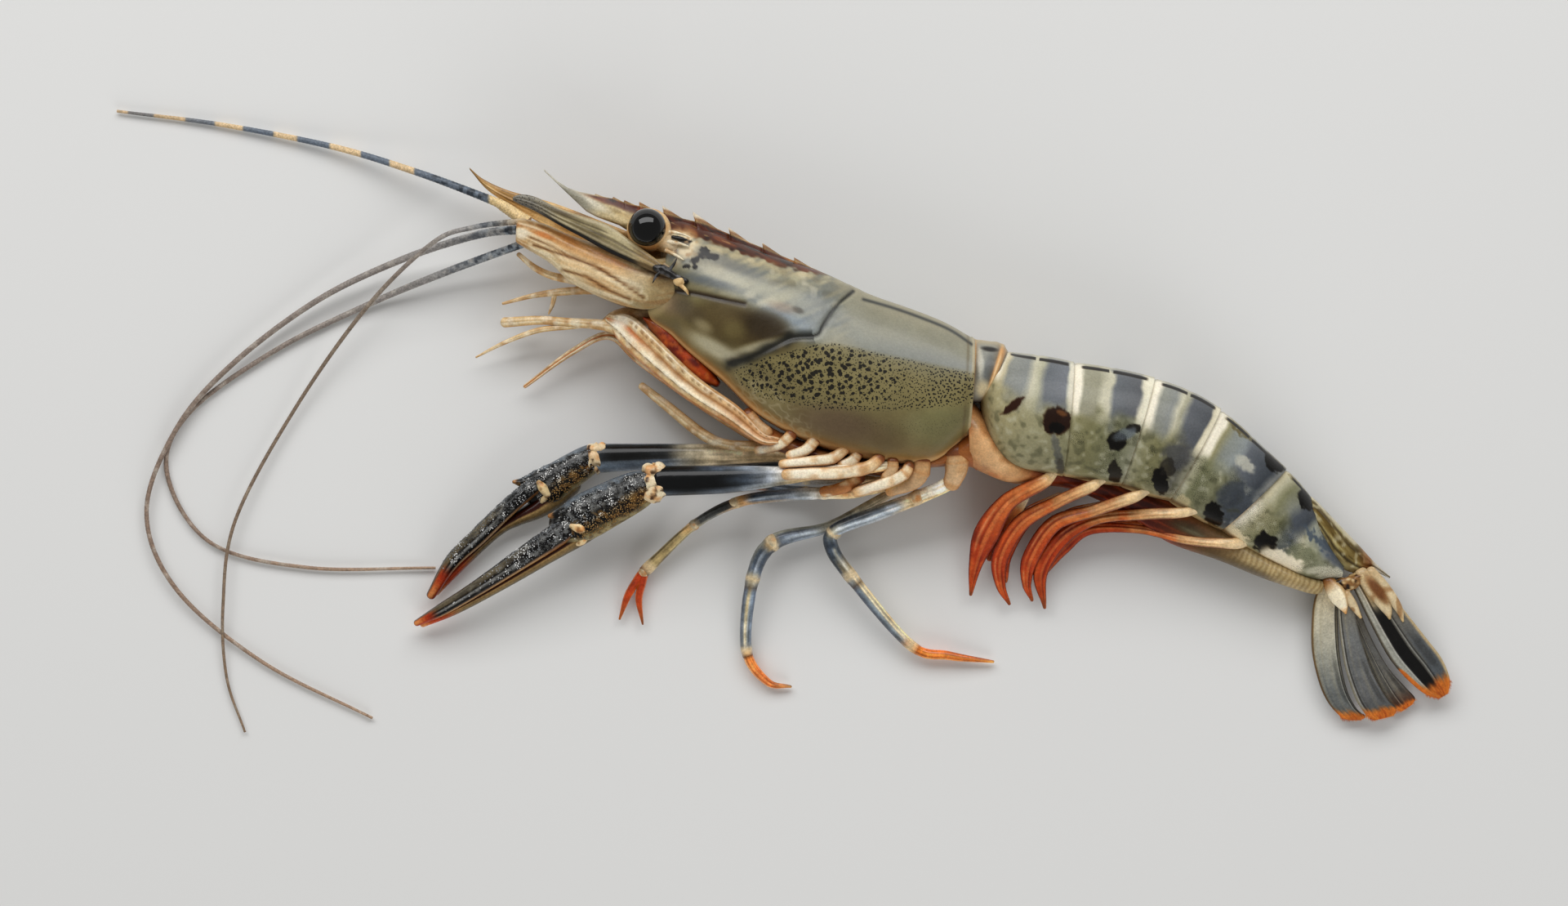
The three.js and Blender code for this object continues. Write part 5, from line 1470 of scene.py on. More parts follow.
def mouthSwell(u, a):
    c = np.cos(a)
    return 1 + 0.14 * bell(c, -0.55, 0.12) + 0.16 * bell(c, 0.28, 0.12) - 0.14 * bell(c, -0.1,
        0.14) - 0.1 * bell(c, 0.6, 0.1)


for name, parts in mouthLimbs.items():
    swell = mouthSwell if name.startswith("mouth_leg") else None
    grids = [tube(rows, 14, 64 if k == 0 else 24, swell if k == 0 else None,
        0.72 if k == 0 and swell else 1) for k, rows in enumerate(parts)]
    paint = paintMouthLeg if name.startswith("mouth_leg") else paintMouth
    addPiece(name.replace("_", "") + "Shell", grids, paint, "cream", "mouth_limb", name)


mouthRoot = [[-59, 13.2, 6.4, 0.4, 0.4], [-56, 14.4, 7.4, 1.3, 1.5], [-51.5, 14.6, 7.8, 2, 2.2],
    [-47, 13.8, 7.4, 2.2, 2.2], [-43.5, 11.4, 6.4, 1, 1.2]]


def paintMouthRoot(g):
    return coats(plain(len(g["x"]), (206, 172, 130)), [
        ((156, 112, 72), fade(0.5, 0.8, cloud(g["p"], 1.6, 71)) * 0.7),
        ((232, 212, 180), fade(0.5, 0.8, cloud(g["p"], 1.2, 72)) * 0.6),
    ])


addPiece("mouthRoot", [tube(mouthRoot, 12, 28)], paintMouthRoot, "cream", "mouth_limb")


def paintGills(g):
    x, y, p = g["x"], g["y"], g["p"]
    return coats(plain(len(x), (176, 78, 26)), [
        ((96, 24, 10), fade(0.45, 0.65, cloud(p, 1.8, 5)) * 0.85),
        ((206, 124, 66), fade(0.5, 0.8, cloud(p, 0.9, 9)) * 0.6),
        ((110, 62, 38), fade(0.3, 0.8, -g["c"]) * 0.6),
        # darker along the top edge: painted shade under the carapace rim
        ((70, 22, 12), fade(0.3, 0.7, g["c"]) * 0.7),
        ((172, 104, 60), blob(x, y, (-47.6, 12.4), (2, 2), 0, 0.6) * 0.8),
    ])


gillRows = [[-50, 13.8, 12, 0.4, 1.2], [-47.6, 12.2, 11.8, 1.5, 2.4], [-42.6, 6.8, 11.6, 2.6, 3],
    [-37.4, 2.2, 11.6, 2.2, 2.8], [-34.8, 0.2, 11.8, 0.9, 1.8]]
addPiece("gillFlesh", [tube(gillRows, 16, 48, lumpy(0.14, 4, 9))], paintGills, "flesh", "gill_flesh",
    "gills")
print("mouth limbs")


# breast, belly and leg bases

bodyFlesh = {
    "breast": [
        [-28.6, -5.6, -29.4, -8.8, 2.6, 11.6], [-24, -8.6, -24.8, -12.4, 3.4, 11.6],
        [-20, -10.6, -20.6, -14.6, 4, 11.6], [-9, -14.6, -9.4, -18, 4.4, 11.4],
        [2, -16.2, 1.6, -19.6, 4.6, 11.2], [10.5, -15.4, 10.2, -17.6, 4.8, 11.2],
        [18.4, -9, 18, -17.4, 6.8, 11.2], [22, -6, 20, -18.2, 7.6, 10.6],
    ],
    "belly": [
        [17.6, -2, 18.4, -17.2, 8.6, 10.8], [21, -6, 21.6, -18.8, 8.8, 10.6],
        [26, -14, 26.2, -20.6, 6.6, 10.4], [32, -16.5, 32, -21.3, 4.6, 10], [40, -18, 40, -22.2, 3.6, 9.4],
        [50, -20, 52, -27.6, 2.6, 7.8], [60.2, -23.4, 60.4, -33.3, 2.6, 6.8],
        [71.3, -29.6, 71.3, -37.2, 3.2, 6.6], [82, -36.4, 81, -41.1, 4, 6.2],
        [91, -40.6, 90.6, -44.2, 3.8, 5.4], [93.6, -41.2, 93, -44, 2.2, 5],
    ],
}


def paintBreast(g):
    x, y, p = g["x"], g["y"], g["p"]
    return coats(plain(len(x), (150, 104, 68)), [
        # cloudy dark red toward the front: painted shade in the recesses between the leg bases
        ((92, 36, 18), fade(0.4, 0.65, cloud(p, 2.2, 3)) * fade(12, 6, x) * 0.85),
        ((206, 164, 118), fade(0.5, 0.8, cloud(p, 2, 8)) * 0.6),
        ((168, 106, 60), fade(8, 16, x) * 0.85),
        ((206, 120, 70), blob(x, y, (-26, -8.5), (4, 2.4), -30, 0.7) * 0.7),
    ])


def paintBelly(g):
    x, y, t, p = g["x"], g["y"], g["t"], g["p"]
    colour = ramp(x, [(17, (180, 120, 76)), (24, (208, 162, 120)), (29, (200, 144, 100)),
        (32, (176, 108, 68)), (36, (124, 60, 32)), (44, (98, 34, 16)), (56, (92, 32, 16)),
        (63, (120, 74, 48)), (70, (134, 108, 78)), (77, (168, 150, 116)), (90, (176, 156, 118))])
    creases = np.sin((x * 0.55 - y * 0.85) * 2 * math.pi / 3.4 + 3 * cloud(p, 2.4, 24))
    colour = coats(colour, [
        ((132, 84, 54), fade(0.6, 1, creases) * fade(36, 28, x) * 0.14),
        ((216, 182, 142), fade(-0.5, -1, creases) * fade(36, 28, x) * 0.15),
        ((226, 190, 150), fade(0.45, 0.75, cloud(p, 4.5, 61)) * fade(36, 28, x) * 0.6),
        ((190, 112, 66), fade(0.5, 0.8, cloud(p, 3, 62)) * fade(36, 28, x) * 0.45),
    ])
    fan = np.sin((x * 0.4 + y * 0.9) * 2 * math.pi / 1.5 + 2 * cloud(p, 2, 25))
    colour = put(colour, (156, 76, 42), fade(0.3, 0.9, fan) * fade(34, 40, x) * fade(66, 60, x) * 0.6)
    lines = np.sin((x * 0.92 - y * 0.38) * 2 * math.pi / 1.1 + 5 * cloud(p, 2.2, 4))
    tail = fade(70, 77, x)
    return coats(colour, [
        ((122, 98, 66), tail * fade(0.3, 0.95, lines) * 0.3),
        ((222, 204, 168), tail * fade(-0.1, -0.9, lines) * 0.25),
        ((92, 80, 60), fade(0.6, 0.95, t) * fade(64, 70, x) * fade(86, 80, x) * 0.7),
        ((206, 160, 116), fade(0.5, 0.8, cloud(p, 3, 9)) * fade(40, 30, x) * 0.5),
        ((150, 96, 60), fade(0.6, 0.9, cloud(p, 2.4, 2)) * fade(40, 30, x) * 0.4),
        ((92, 84, 66), blob(x, y, (64.5, -30.4), (4, 1.1), -22, 0.6) * 0.8),
        ((126, 122, 104), blob(x, y, (66, -31.4), (3.4, 0.4), -24, 0.6) * 0.8),
    ])


addPiece("breastFlesh", [shell(bodyFlesh["breast"], 12, 48)], paintBreast, "flesh", "flesh", "breast")
addPiece("bellyFlesh", [shell(bodyFlesh["belly"], 48, 72, 0.9)], paintBelly, "flesh", "flesh", "belly")

# leg bases: cream segments packed side by side under the carapace
legBases = [
    [[-7.4, -13.4, 16.6, 1.1, 1.1], [-10.6, -15.6, 17.4, 1.2, 1.1], [-15, -16.2, 17.4, 1.1, 1.1],
        [-21, -16.8, 16.6, 0.9, 0.9]],
    [[-14, -11.6, 16.4, 1.3, 1.2], [-16, -13.8, 16.6, 1.2, 1.1], [-19.4, -15, 15.6, 1, 1]],
    [[-19, -10.6, 15.8, 1.2, 1.2], [-21.6, -12.8, 15.2, 1.1, 1.1], [-26, -14, 12.4, 1, 1]],
    [[-0.6, -15.6, 17.6, 1.2, 1.2], [-3.4, -17.6, 18.2, 1.35, 1.2], [-9.6, -18.7, 18.2, 1.3, 1.2],
        [-15, -18.8, 18, 1.25, 1.1], [-20.2, -19, 17.2, 1.1, 1]],
    [[-5, -14.6, 16.4, 1.1, 1.1], [-6.4, -16.2, 16.6, 1.2, 1.1], [-8.6, -17, 16.4, 1, 1]],
    [[2.2, -16.2, 17, 1.2, 1.2], [2, -18, 17, 1.25, 1.1], [0.6, -19.6, 16.4, 1, 1]],
    [[5.6, -17.2, 17, 1.1, 1.1], [4.4, -19, 17.2, 1.25, 1.15], [0.6, -20.8, 16.8, 1.25, 1.15],
        [-5.4, -22.7, 15.6, 1.05, 1]],
    [[8.4, -15.8, 16.2, 1.7, 1.4], [8, -18.6, 15.6, 1.9, 1.5], [6.2, -20.9, 14.2, 1.5, 1.3],
        [1.6, -22.6, 12.6, 1, 1]],
    [[-4.6, -19.6, 14.4, 1.2, 1.1], [-8.4, -21.8, 14.6, 1.25, 1.2], [-12.2, -22.6, 13.4, 1.1, 1.1]],
    [[15.4, -14.6, 15.6, 2.4, 1.8], [15.6, -17.6, 15, 2.4, 1.8], [14.6, -20.8, 13.8, 1.8, 1.5]],
    [[-28, -6.4, 14, 1.5, 1.4], [-26.4, -8.6, 14.6, 1.5, 1.4], [-24, -10.2, 15, 1.2, 1.2]],
]


def paintLegBase(g):
    u, c, p, part = g["u"], g["c"], g["p"], g["part"]
    colour = ramp(u, [(0, (206, 156, 110)), (0.2, (236, 210, 172)), (0.3, (206, 162, 120)),
        (0.35, (242, 226, 196)), (0.9, (248, 236, 212)), (1, (226, 186, 142))])
    colour = coats(colour, [
        # darker brown at both sides is painted shade between the packed bases; the pale band near the
        # middle, toward the upper side, is a painted highlight
        ((176, 124, 84), fade(0.6, 1, np.abs(c)) * 0.6),
        ((206, 158, 112), fade(0.55, 0.85, cloud(p, 1.8, 6)) * 0.45),
        ((250, 240, 218), bell(c, -0.2, 0.25) * fade(0.35, 0.7, cloud(p, 1.4, 26)) * 0.6),
    ])
    fleshy = np.isin(part, (5, 7, 9, 10))
    colour = np.where(fleshy[:, None], put(colour, (190, 144, 102), np.full(len(u), 0.6)), colour)
    colour = np.where((part == 8)[:, None], put(colour, (176, 112, 66),
        fade(0.3, 0.6, cloud(p, 1.6, 16)) * 0.8), colour)
    colour = put(colour, (110, 60, 36), fade(0.06, 0, u) * 0.7)
    return colour


addPiece("legBases", [tube(r, 14, 28, swellAt([(0.31,), (0.96,)], 0.07, 0.03), 0.85) for r in legBases],
    paintLegBase, "cream", "mouth_limb")
print("body flesh and leg bases")


# tail plates

blue, brightCream, olive, dimCream, ink = (114, 119, 126), (246, 238, 218), (132, 130, 102), (200, 196,
    176), (14, 12, 11)
plates = {
    "abdomen_2": {
        "rows": [[25.9, 6.9, 20.4, -3.8, 11.4], [28.5, 6.6, 22, -12.2, 11.4],
            [32.5, 6.1, 26.6, -17.4, 11.3], [36.5, 5.4, 33, -18.9, 11.2], [39.8, 4.7, 37.3, -19.5, 11.1]],
        "upper": [(0, brightCream), (0.12, (206, 196, 168)), (0.2, (150, 152, 148)),
            (0.42, (144, 147, 146)), (0.5, dimCream), (0.58, (180, 178, 158)), (0.66, blue),
            (0.94, (124, 128, 136)), (0.98, (206, 204, 188)), (1, (222, 216, 198))],
        "lower": [(0, (176, 168, 138)), (0.3, (168, 160, 128)), (0.6, (158, 154, 128)),
            (1, (142, 140, 116))],
        "blotches": [
            ((27.2, -4.6), (2.9, 0.95), 38, (54, 28, 18), 0.95),
            ((36.2, -7.8), (3.1, 3), 0, (44, 24, 16), 0.95),
            ((36.2, -9.2), (1.6, 1.3), 0, (12, 10, 10), 0.9),
            ((37.2, -6.2), (1.2, 0.6), -20, (120, 84, 56), 0.8),
            ((36.4, -14.5), (0.8, 4), 14, (96, 98, 100), 0.7),
            ((37.2, -17.6), (0.7, 2), 10, (70, 66, 60), 0.6),
        ],
        "specks": (0.04, 0.16),
    },
    "abdomen_3": {
        "rows": [[40.2, 4.6, 37.7, -19.6, 11], [45, 4, 41, -20.1, 10.9], [51, 2.9, 45.5, -20.9, 10.7],
            [56.8, 1.5, 49.6, -21.4, 10.4]],
        "upper": [(0, brightCream), (0.12, brightCream), (0.18, (160, 158, 142)),
            (0.38, (158, 156, 140)), (0.46, dimCream), (0.52, dimCream), (0.58, blue),
            (0.9, (106, 109, 116)), (0.95, (226, 220, 198)), (1, (236, 230, 208))],
        "lower": [(0, (150, 146, 118)), (0.4, olive), (0.8, (126, 128, 108)), (1, (150, 150, 134))],
        "blotches": [
            ((48.8, -12), (2, 2), 0, ink, 0.95), ((52.4, -9.4), (1.6, 0.9), -10, (30, 28, 28), 0.9),
            ((50.4, -10.6), (2.4, 1.2), 20, (110, 120, 132), 0.7),
            ((48.6, -18.6), (1.3, 2.6), 12, (34, 30, 26), 0.85),
        ],
        "specks": (0.1, 0.6),
    },
    "abdomen_4": {
        "rows": [[57.2, 1.3, 50, -21.5, 10.3], [62, -0.2, 53.5, -22.8, 10.1], [67, -2.5, 57, -23.8, 9.8],
            [70.9, -4.9, 59.9, -24.4, 9.5]],
        "upper": [(0, brightCream), (0.12, brightCream), (0.2, (150, 152, 146)), (0.36, (144, 147, 146)),
            (0.46, dimCream), (0.52, (170, 168, 150)), (0.6, (104, 108, 116)), (0.91, (98, 102, 110)),
            (0.955, (216, 208, 184)), (1, (230, 222, 198))],
        "lower": [(0, (160, 158, 136)), (0.3, olive), (0.6, (128, 126, 102)), (0.8, (100, 100, 96)),
            (1, (150, 148, 132))],
        "blotches": [
            ((58.2, -20.4), (1.6, 2.8), 20, ink, 0.95), ((61.5, -15), (3, 3), 40, (84, 86, 92), 0.8),
            ((59.6, -17.6), (1.8, 1.8), 40, (44, 42, 42), 0.7),
        ],
        "specks": (0.12, 0.65),
    },
    "abdomen_5": {
        "rows": [[71.2, -5.2, 60.3, -24.6, 9.3], [75.5, -8.6, 64, -27, 9], [80, -12.9, 67.8, -29.1, 8.6],
            [84.9, -17.4, 71, -30.6, 8.2]],
        "upper": [(0, brightCream), (0.14, brightCream), (0.2, (150, 146, 118)), (0.32, (142, 146, 142)),
            (0.5, (150, 156, 158)), (0.6, (108, 113, 122)), (0.92, (72, 78, 88)), (1, (130, 132, 132))],
        "lower": [(0, (190, 186, 164)), (0.2, (126, 128, 104)), (0.5, (130, 130, 110)),
            (0.75, (88, 94, 104)), (1, (78, 84, 94))],
        "blotches": [
            ((82.6, -16.4), (2.6, 1.8), -40, ink, 0.97), ((69.6, -27.4), (1.8, 2.8), 24, ink, 0.95),
            ((73, -23.2), (3.2, 2.4), 40, (72, 78, 88), 0.8),
            ((75.4, -9.6), (3.6, 0.9), -40, (104, 94, 62), 0.8),
            ((76, -16.8), (2.6, 1.3), -35, (198, 196, 182), 0.75),
            ((63.2, -24.6), (1.6, 1.3), 0, (214, 200, 164), 0.7),
        ],
        "specks": (0.12, 0.6),
    },
    "abdomen_6": {
        "rows": [[85.2, -17.7, 71.4, -30.9, 8], [88.6, -21.2, 77, -34.7, 7.6],
            [91.4, -25.2, 83.5, -38.2, 6.9], [93.3, -30.9, 90, -41, 6], [97.4, -37.6, 96.6, -41.2, 4.2]],
        "upper": [(0, (206, 196, 166)), (0.1, (186, 182, 160)), (0.2, (134, 134, 110)),
            (0.32, (138, 140, 132)), (0.4, (88, 94, 104)), (0.54, (78, 84, 94)), (0.62, (170, 172, 158)),
            (0.72, (156, 160, 154)), (0.86, (108, 113, 122)), (1, (100, 106, 114))],
        "lower": [(0, brightCream), (0.12, (160, 156, 130)), (0.3, (128, 128, 104)),
            (0.46, (98, 104, 112)), (0.58, (206, 200, 174)), (0.72, (134, 136, 116)),
            (0.9, (160, 160, 146)), (1, (196, 194, 178))],
        "blotches": [
            ((89.6, -24.4), (2.6, 1.9), -42, ink, 0.97), ((80.6, -33.6), (2.2, 2.6), 30, ink, 0.95),
            ((84.2, -37), (4.8, 2), -26, (250, 238, 212), 0.95),
            ((74.6, -31.6), (2.8, 1.1), -44, (236, 222, 188), 0.9),
            ((87.5, -19.8), (2, 0.9), -42, (104, 96, 66), 0.8),
            ((92, -33.2), (5, 0.9), -42, (84, 96, 112), 0.85),
            ((93, -39.4), (3.6, 1), -4, (208, 204, 184), 0.8),
            ((88, -35.4), (3, 1.6), -20, (120, 124, 104), 0.7),
        ],
        "specks": (0.12, 0.55),
    },
}
restCut = 0.3


def paintPlate(plate):
    def paint(g):
        x, y, u, t, p = g["x"], g["y"], g["u"], g["t"], g["p"]
        wob = (cloud(p, 3.4, 3) - 0.5) * 0.08 + (cloud(p, 1.4, 5) - 0.5) * 0.02
        s = np.clip(u + wob, 0, 1)
        upper, lower = ramp(s, plate["upper"]), ramp(s, plate["lower"])
        share = fade(0.34, 0.56, t + (cloud(p, 2.2, 8) - 0.5) * 0.16)
        colour = upper + (lower - upper) * share[:, None]
        grain = 0.5 * cloud(p, 1.3, 2) + 0.5 * cloud(p + 7, 0.9, 12)
        colour = coats(colour, [
            ((206, 204, 186), fade(0.55, 0.8, grain) * share * 0.4),
            ((74, 76, 62), fade(0.45, 0.25, grain) * share * 0.4),
            ((176, 172, 146), fade(0.9, 0.99, t) * 0.5),
        ])
        for centre, radii, tilt, tint, strength in plate["blotches"]:
            ragged = (cloud(p, 0.9, 7) - 0.5) * 0.7 + (cloud(p, 0.4, 17) - 0.5) * 0.3
            soft = 0.12 if sum(tint) < 140 else 0.3
            shape = blob(x + ragged * radii[0] * 0.6, y + ragged * radii[1] * 0.7, centre, radii, tilt,
                soft)
            colour = put(colour, tint, shape * strength)
        # broken dark line along the back, just inside the top edge
        backDash = fade(0.02, 0.028, t) * fade(0.056, 0.044, t) * fade(0.1, 0.16, u) * fade(0.97, 0.92,
            u) * (np.abs(np.mod(u * 2, 1) - 0.02) > 0.06)
        colour = coats(colour, [
            ((22, 16, 14), backDash * 0.95),
            ((186, 182, 166), fade(0.022, 0.014, t) * 0.7),
            ((206, 156, 108), fade(0.03, 0, u) * fade(0.4, 0.5, t) * 0.4),
            ((206, 170, 122), fade(0.955, 0.985, t) * 0.6),
        ])
        low, high = plate["specks"]
        specks = (low + (high - low) * share) * fade(0.98, 0.9, t) * fade(0.35, 0.65,
            cloud(p, 2.6, 11)) * 0.75
        return colour, specks
    return paint


def paintSaddle(g):
    x, y, u, t, p = g["x"], g["y"], g["u"], g["t"], g["p"]
    colour = coats(plain(len(x), (150, 151, 146)), [
        # a lighter and a darker band: painted light and shade on two facets of the plate
        ((206, 204, 192), blob(x, y, (20.4, 3.6), (0.7, 4.6), 6, 0.5) * 0.8),
        ((104, 108, 112), blob(x, y, (21.9, 2.6), (1, 3.4), -14, 0.6) * 0.7),
    ])
    for edge in (0.07, 0.88):
        colour = coats(colour, [
            ((96, 68, 46), bell(u, edge, 0.16) * 0.5),
            ((216, 166, 116), np.exp(-((u - edge) / 0.09) ** 4) * 0.95),
            # a thin bright line on each raised rim is a painted highlight
            ((246, 220, 182), bell(u, edge, 0.035) * fade(0.3, 0.6, cloud(p, 2, 4)) * 0.7),
        ])
    return coats(colour, [
        ((36, 34, 36), blob(x, y, (22.3, 7.2), (1.6, 0.5), -8, 0.5) * 0.9),
        ((188, 170, 136), fade(0.12, 0, t) * 0.8),
        ((232, 216, 180), blob(x, y, (21, -1.2), (1.4, 1.8), 20, 0.6) * 0.9),
    ])


saddleRows = [[18.6, 9.4, 18, -4, 10.6, 11.4], [20.4, 9.3, 19, -4, 10.9, 11.4],
    [22.6, 9, 19.8, -4, 11.1, 11.4], [24.6, 8.7, 20.6, -4, 11.1, 11.3], [26.4, 7, 21.4, -3.6, 10.8, 11.2]]


def saddleRelief(g):
    return 0.4 * bell(g["u"], 0.88, 0.07) + 0.35 * bell(g["u"], 0.07, 0.06)


addPiece("tailPlate1", [shell(saddleRows, 16, 140, 0.95, None, saddleRelief)], paintSaddle, "tail",
    "tail_shell", "abdomen_1")


def plateRelief(g):
    # each plate starts tucked under the one in front and swells a little behind its middle
    u = g["u"]
    t = (1 - np.cos(g["a"])) / 2
    tuck = -0.3 * (1 - fade(0, 0.08, u))
    crease = -0.1 * bell(u, 0.52, 0.03) * fade(0.6, 0.3, t)
    return (tuck + crease + 0.12 * fade(0.2, 0.9, u)) * fade(1.02, 0.97, t)


plateLip = [(0.3, 0.02), (0.52, 0), (0.6, -0.08), (0.42, -0.22), (-0.4, -0.4)]
for number, (name, plate) in enumerate(plates.items(), 2):
    rows = [row + [row[4] - restCut] for row in plate["rows"]]
    grid = shell(rows, 24, 240, 0.92, plateLip, plateRelief)
    addPiece("tailPlate%d" % number, [grid], paintPlate(plate), "tail", "tail_shell", name)
print("tail plates")


# telson and tail fan

telsonRows = [[90.6, -23.6, 90.2, -31, 3.4, 7.2], [92.1, -24.9, 92, -31.6, 3.6, 6.9],
    [97.5, -30.4, 95, -36.8, 3.3, 5.8], [101, -34, 98, -39.2, 2.8, 5.2],
    [103.2, -36.4, 100.9, -40, 1.9, 4.8], [104.8, -38, 103.8, -39.4, 0.9, 4.4],
    [107.8, -40.7, 107.6, -41, 0.2, 4]]


def telsonRelief(g):
    c = np.cos(g["a"])
    return 0.25 * bell(c, 0.35, 0.12) - 0.2 * bell(c, 0, 0.15) + 0.2 * bell(c, -0.5, 0.12)


def paintTelson(g):
    x, c, p = g["x"], g["c"], g["p"]
    colour = ramp((1 - c) / 2, [(0, (214, 206, 184)), (0.12, (196, 186, 158)), (0.2, (96, 82, 50)),
        (0.42, (122, 104, 66)), (0.6, (138, 122, 82)), (0.8, (146, 132, 98)), (1, (92, 80, 60))])
    streak = streaks((p[:, 0] * 0.7 - p[:, 1] * 0.7) * 0.5, c * 6, p[:, 2] * 0, 5)
    colour = coats(colour, [
        ((182, 172, 130), fade(0.5, 0.8, streak) * 0.7),
        ((66, 56, 32), fade(0.45, 0.2, streak) * 0.6),
        ((40, 34, 26), bell(c, -0.35, 0.08) * 0.8),
        ((206, 200, 176), fade(0.6, 0.85, cloud(p, 0.9, 12)) * 0.6),
        ((122, 66, 32), fade(100, 103, x) * fade(105, 103, x) * 0.6),
        ((196, 190, 180), fade(103.4, 104.6, x) * 0.8),
    ])
    return colour, np.full(len(x), 0.12)


addPiece("telsonBlade", [shell(telsonRows, 14, 64, 0.9, None, telsonRelief)], paintTelson, "tail",
    "tail_shell", "telson")

fan = {
    "tail_blade_1": {
        "rows": [
            [93, -42, 97.2, -42.4, 1.2, 5], [91.7, -45.6, 96.6, -46, 0.9, 4.4],
            [91.2, -50, 96.5, -50, 0.8, 4], [91.3, -56.5, 97.1, -57.6, 0.7, 3.4],
            [92.8, -63, 98.6, -64.4, 0.6, 2.7], [94.8, -67.4, 100.6, -68.4, 0.5, 2.2],
            [97.6, -70.5, 102.6, -70.4, 0.32, 1.8], [99.2, -71.2, 101.8, -71.2, 0.12, 1.6],
        ],
        "base": [(0, (220, 204, 172)), (0.25, (212, 204, 182)), (0.46, (160, 160, 152)),
            (0.6, (118, 122, 124)), (1, (94, 96, 98))],
        "edgeTone": (104, 80, 50), "edgeSide": 1, "ribs": (-0.72,), "fringeFrom": 0.76,
    },
    "tail_blade_2": {
        "rows": [
            [96.6, -44.8, 99.6, -44.8, 1, 6.2], [96.7, -49, 100.2, -49, 0.8, 5.8],
            [97.2, -54, 101.6, -54.4, 0.8, 5.4], [98.2, -60, 104, -61, 0.7, 4.7],
            [100.4, -66.4, 107.2, -66.4, 0.55, 3.9], [102.6, -69.8, 109.2, -68.6, 0.4, 3.3],
            [104.4, -71.2, 108.6, -70.2, 0.15, 3],
        ],
        "base": [(0, (134, 128, 116)), (0.3, (122, 124, 126)), (0.6, (112, 114, 118)),
            (0.8, (96, 98, 102)), (1, (76, 72, 68))],
        "edgeTone": (156, 150, 134), "edgeSide": 1, "ribs": (0.84,), "fringeFrom": 0.76,
    },
    "tail_blade_3": {
        "rows": [[98.6, -46.4, 101.2, -47.4, 0.8, 3], [100.6, -51.5, 103.4, -52.8, 0.65, 2.7],
            [103.4, -58.4, 107.2, -59.6, 0.6, 2.2], [106.4, -65, 111, -64, 0.5, 1.9],
            [108.6, -68.4, 113.2, -66.4, 0.35, 1.6], [110.4, -69.4, 112.8, -67.8, 0.12, 1.5]],
        "base": [(0, (128, 120, 108)), (0.3, (120, 120, 120)), (0.6, (110, 108, 106)),
            (0.85, (86, 50, 36)), (1, (128, 56, 28))],
        "edgeTone": (120, 116, 104), "edgeSide": 1, "ribs": (0.3,), "fringeFrom": 0.78,
    },
    "tail_blade_4": {
        "rows": [
            [98.8, -41, 103.2, -38.6, 1.2, 5.4], [100.8, -45, 106.6, -42.6, 1, 5.3],
            [103, -49.6, 109.8, -46.8, 0.9, 5.2], [107.2, -57.4, 115.2, -53.6, 0.8, 4.6],
            [111, -62, 118.6, -58, 0.65, 4], [115, -65.4, 120.4, -62.4, 0.45, 3.4],
            [118.2, -66.6, 120.2, -65.4, 0.15, 3],
        ],
        "base": [(0, (196, 170, 130)), (0.2, (188, 160, 118)), (0.32, (132, 128, 120)),
            (0.5, (98, 102, 108)), (0.8, (88, 94, 102)), (1, (80, 70, 64))],
        "edgeTone": (206, 182, 142), "edgeSide": -1, "ribs": (-0.1, 0.62), "fringeFrom": 0.76,
        "blackZone": True,
    },
}


def bladeRelief(blade):
    def relief(g):
        c = np.cos(g["a"])
        thin = np.abs(np.sin(g["a"])) ** 0.4
        rise = 0.3 * bell(c, -0.95, 0.1) + 0.3 * bell(c, 0.95, 0.1)
        for rib in blade["ribs"]:
            rise = rise + 0.32 * bell(c, rib, 0.06)
        fine = 0.04 * np.sin(c * 60)
        return (rise + fine) * thin * fade(1, 0.8, g["u"]) * fade(0, 0.05, g["u"] + 0.02)
    return relief


def paintBlade(blade):
    def paint(g):
        u, c, p = g["u"], g["c"], g["p"]
        colour = ramp(u, blade["base"])
        streak = streaks(u * 3, c * 5, p[:, 2] * 0, 4)
        colour = coats(colour, [
            ((166, 158, 136), fade(0.55, 0.85, streak) * 0.3),
            ((44, 44, 46), fade(0.42, 0.2, streak) * 0.3),
        ])
        if "blackZone" in blade:
            zone = fade(-0.12, -0.04, c) * fade(0.62, 0.5, c) * fade(0.26, 0.36, u)
            colour = put(colour, (10, 9, 10), zone * 0.97)
            pale = fade(0.6, 0.68, c) * fade(0.9, 0.75, u)
            colour = put(colour, (172, 172, 164), pale * 0.85)
        outer = fade(0.8, 0.93, c * blade["edgeSide"])
        colour = put(colour, blade["edgeTone"], outer * 0.85)
        other = fade(0.84, 0.95, -c * blade["edgeSide"])
        colour = put(colour, (60, 52, 44), other * 0.7)
        # a pale line on each raised rib is a painted highlight, and the dark line just beside it is painted
        # shadow
        for rib in blade["ribs"]:
            colour = coats(colour, [
                ((206, 204, 194), bell(c, rib, 0.035) * (0.9 if "blackZone" in blade else 0.55)),
                ((20, 20, 24), bell(c - rib, -0.1, 0.045) * 0.75),
            ])
        ragged = (streaks(u * 0, c * 12, u * 0, 8) - 0.5) * 0.08
        reach = u + ragged
        if "blackZone" in blade:
            reach = reach + 0.28 * fade(0.72, 0.92, c) * fade(0.5, 0.66, u)
        fringe = fade(blade["fringeFrom"] - 0.02, blade["fringeFrom"] + 0.08, reach)
        colour = coats(colour, [
            ((206, 120, 52), fringe * 0.95),
            ((228, 152, 84), fringe * fade(0.5, 0.8, streaks(u * 2, c * 16, u * 0, 2)) * 0.7),
            ((150, 66, 26), fringe * fade(0.5, 0.2, streaks(u * 2, c * 14, u * 0, 6)) * 0.6),
        ])
        return colour, (1 - fringe) * 0.16
    return paint


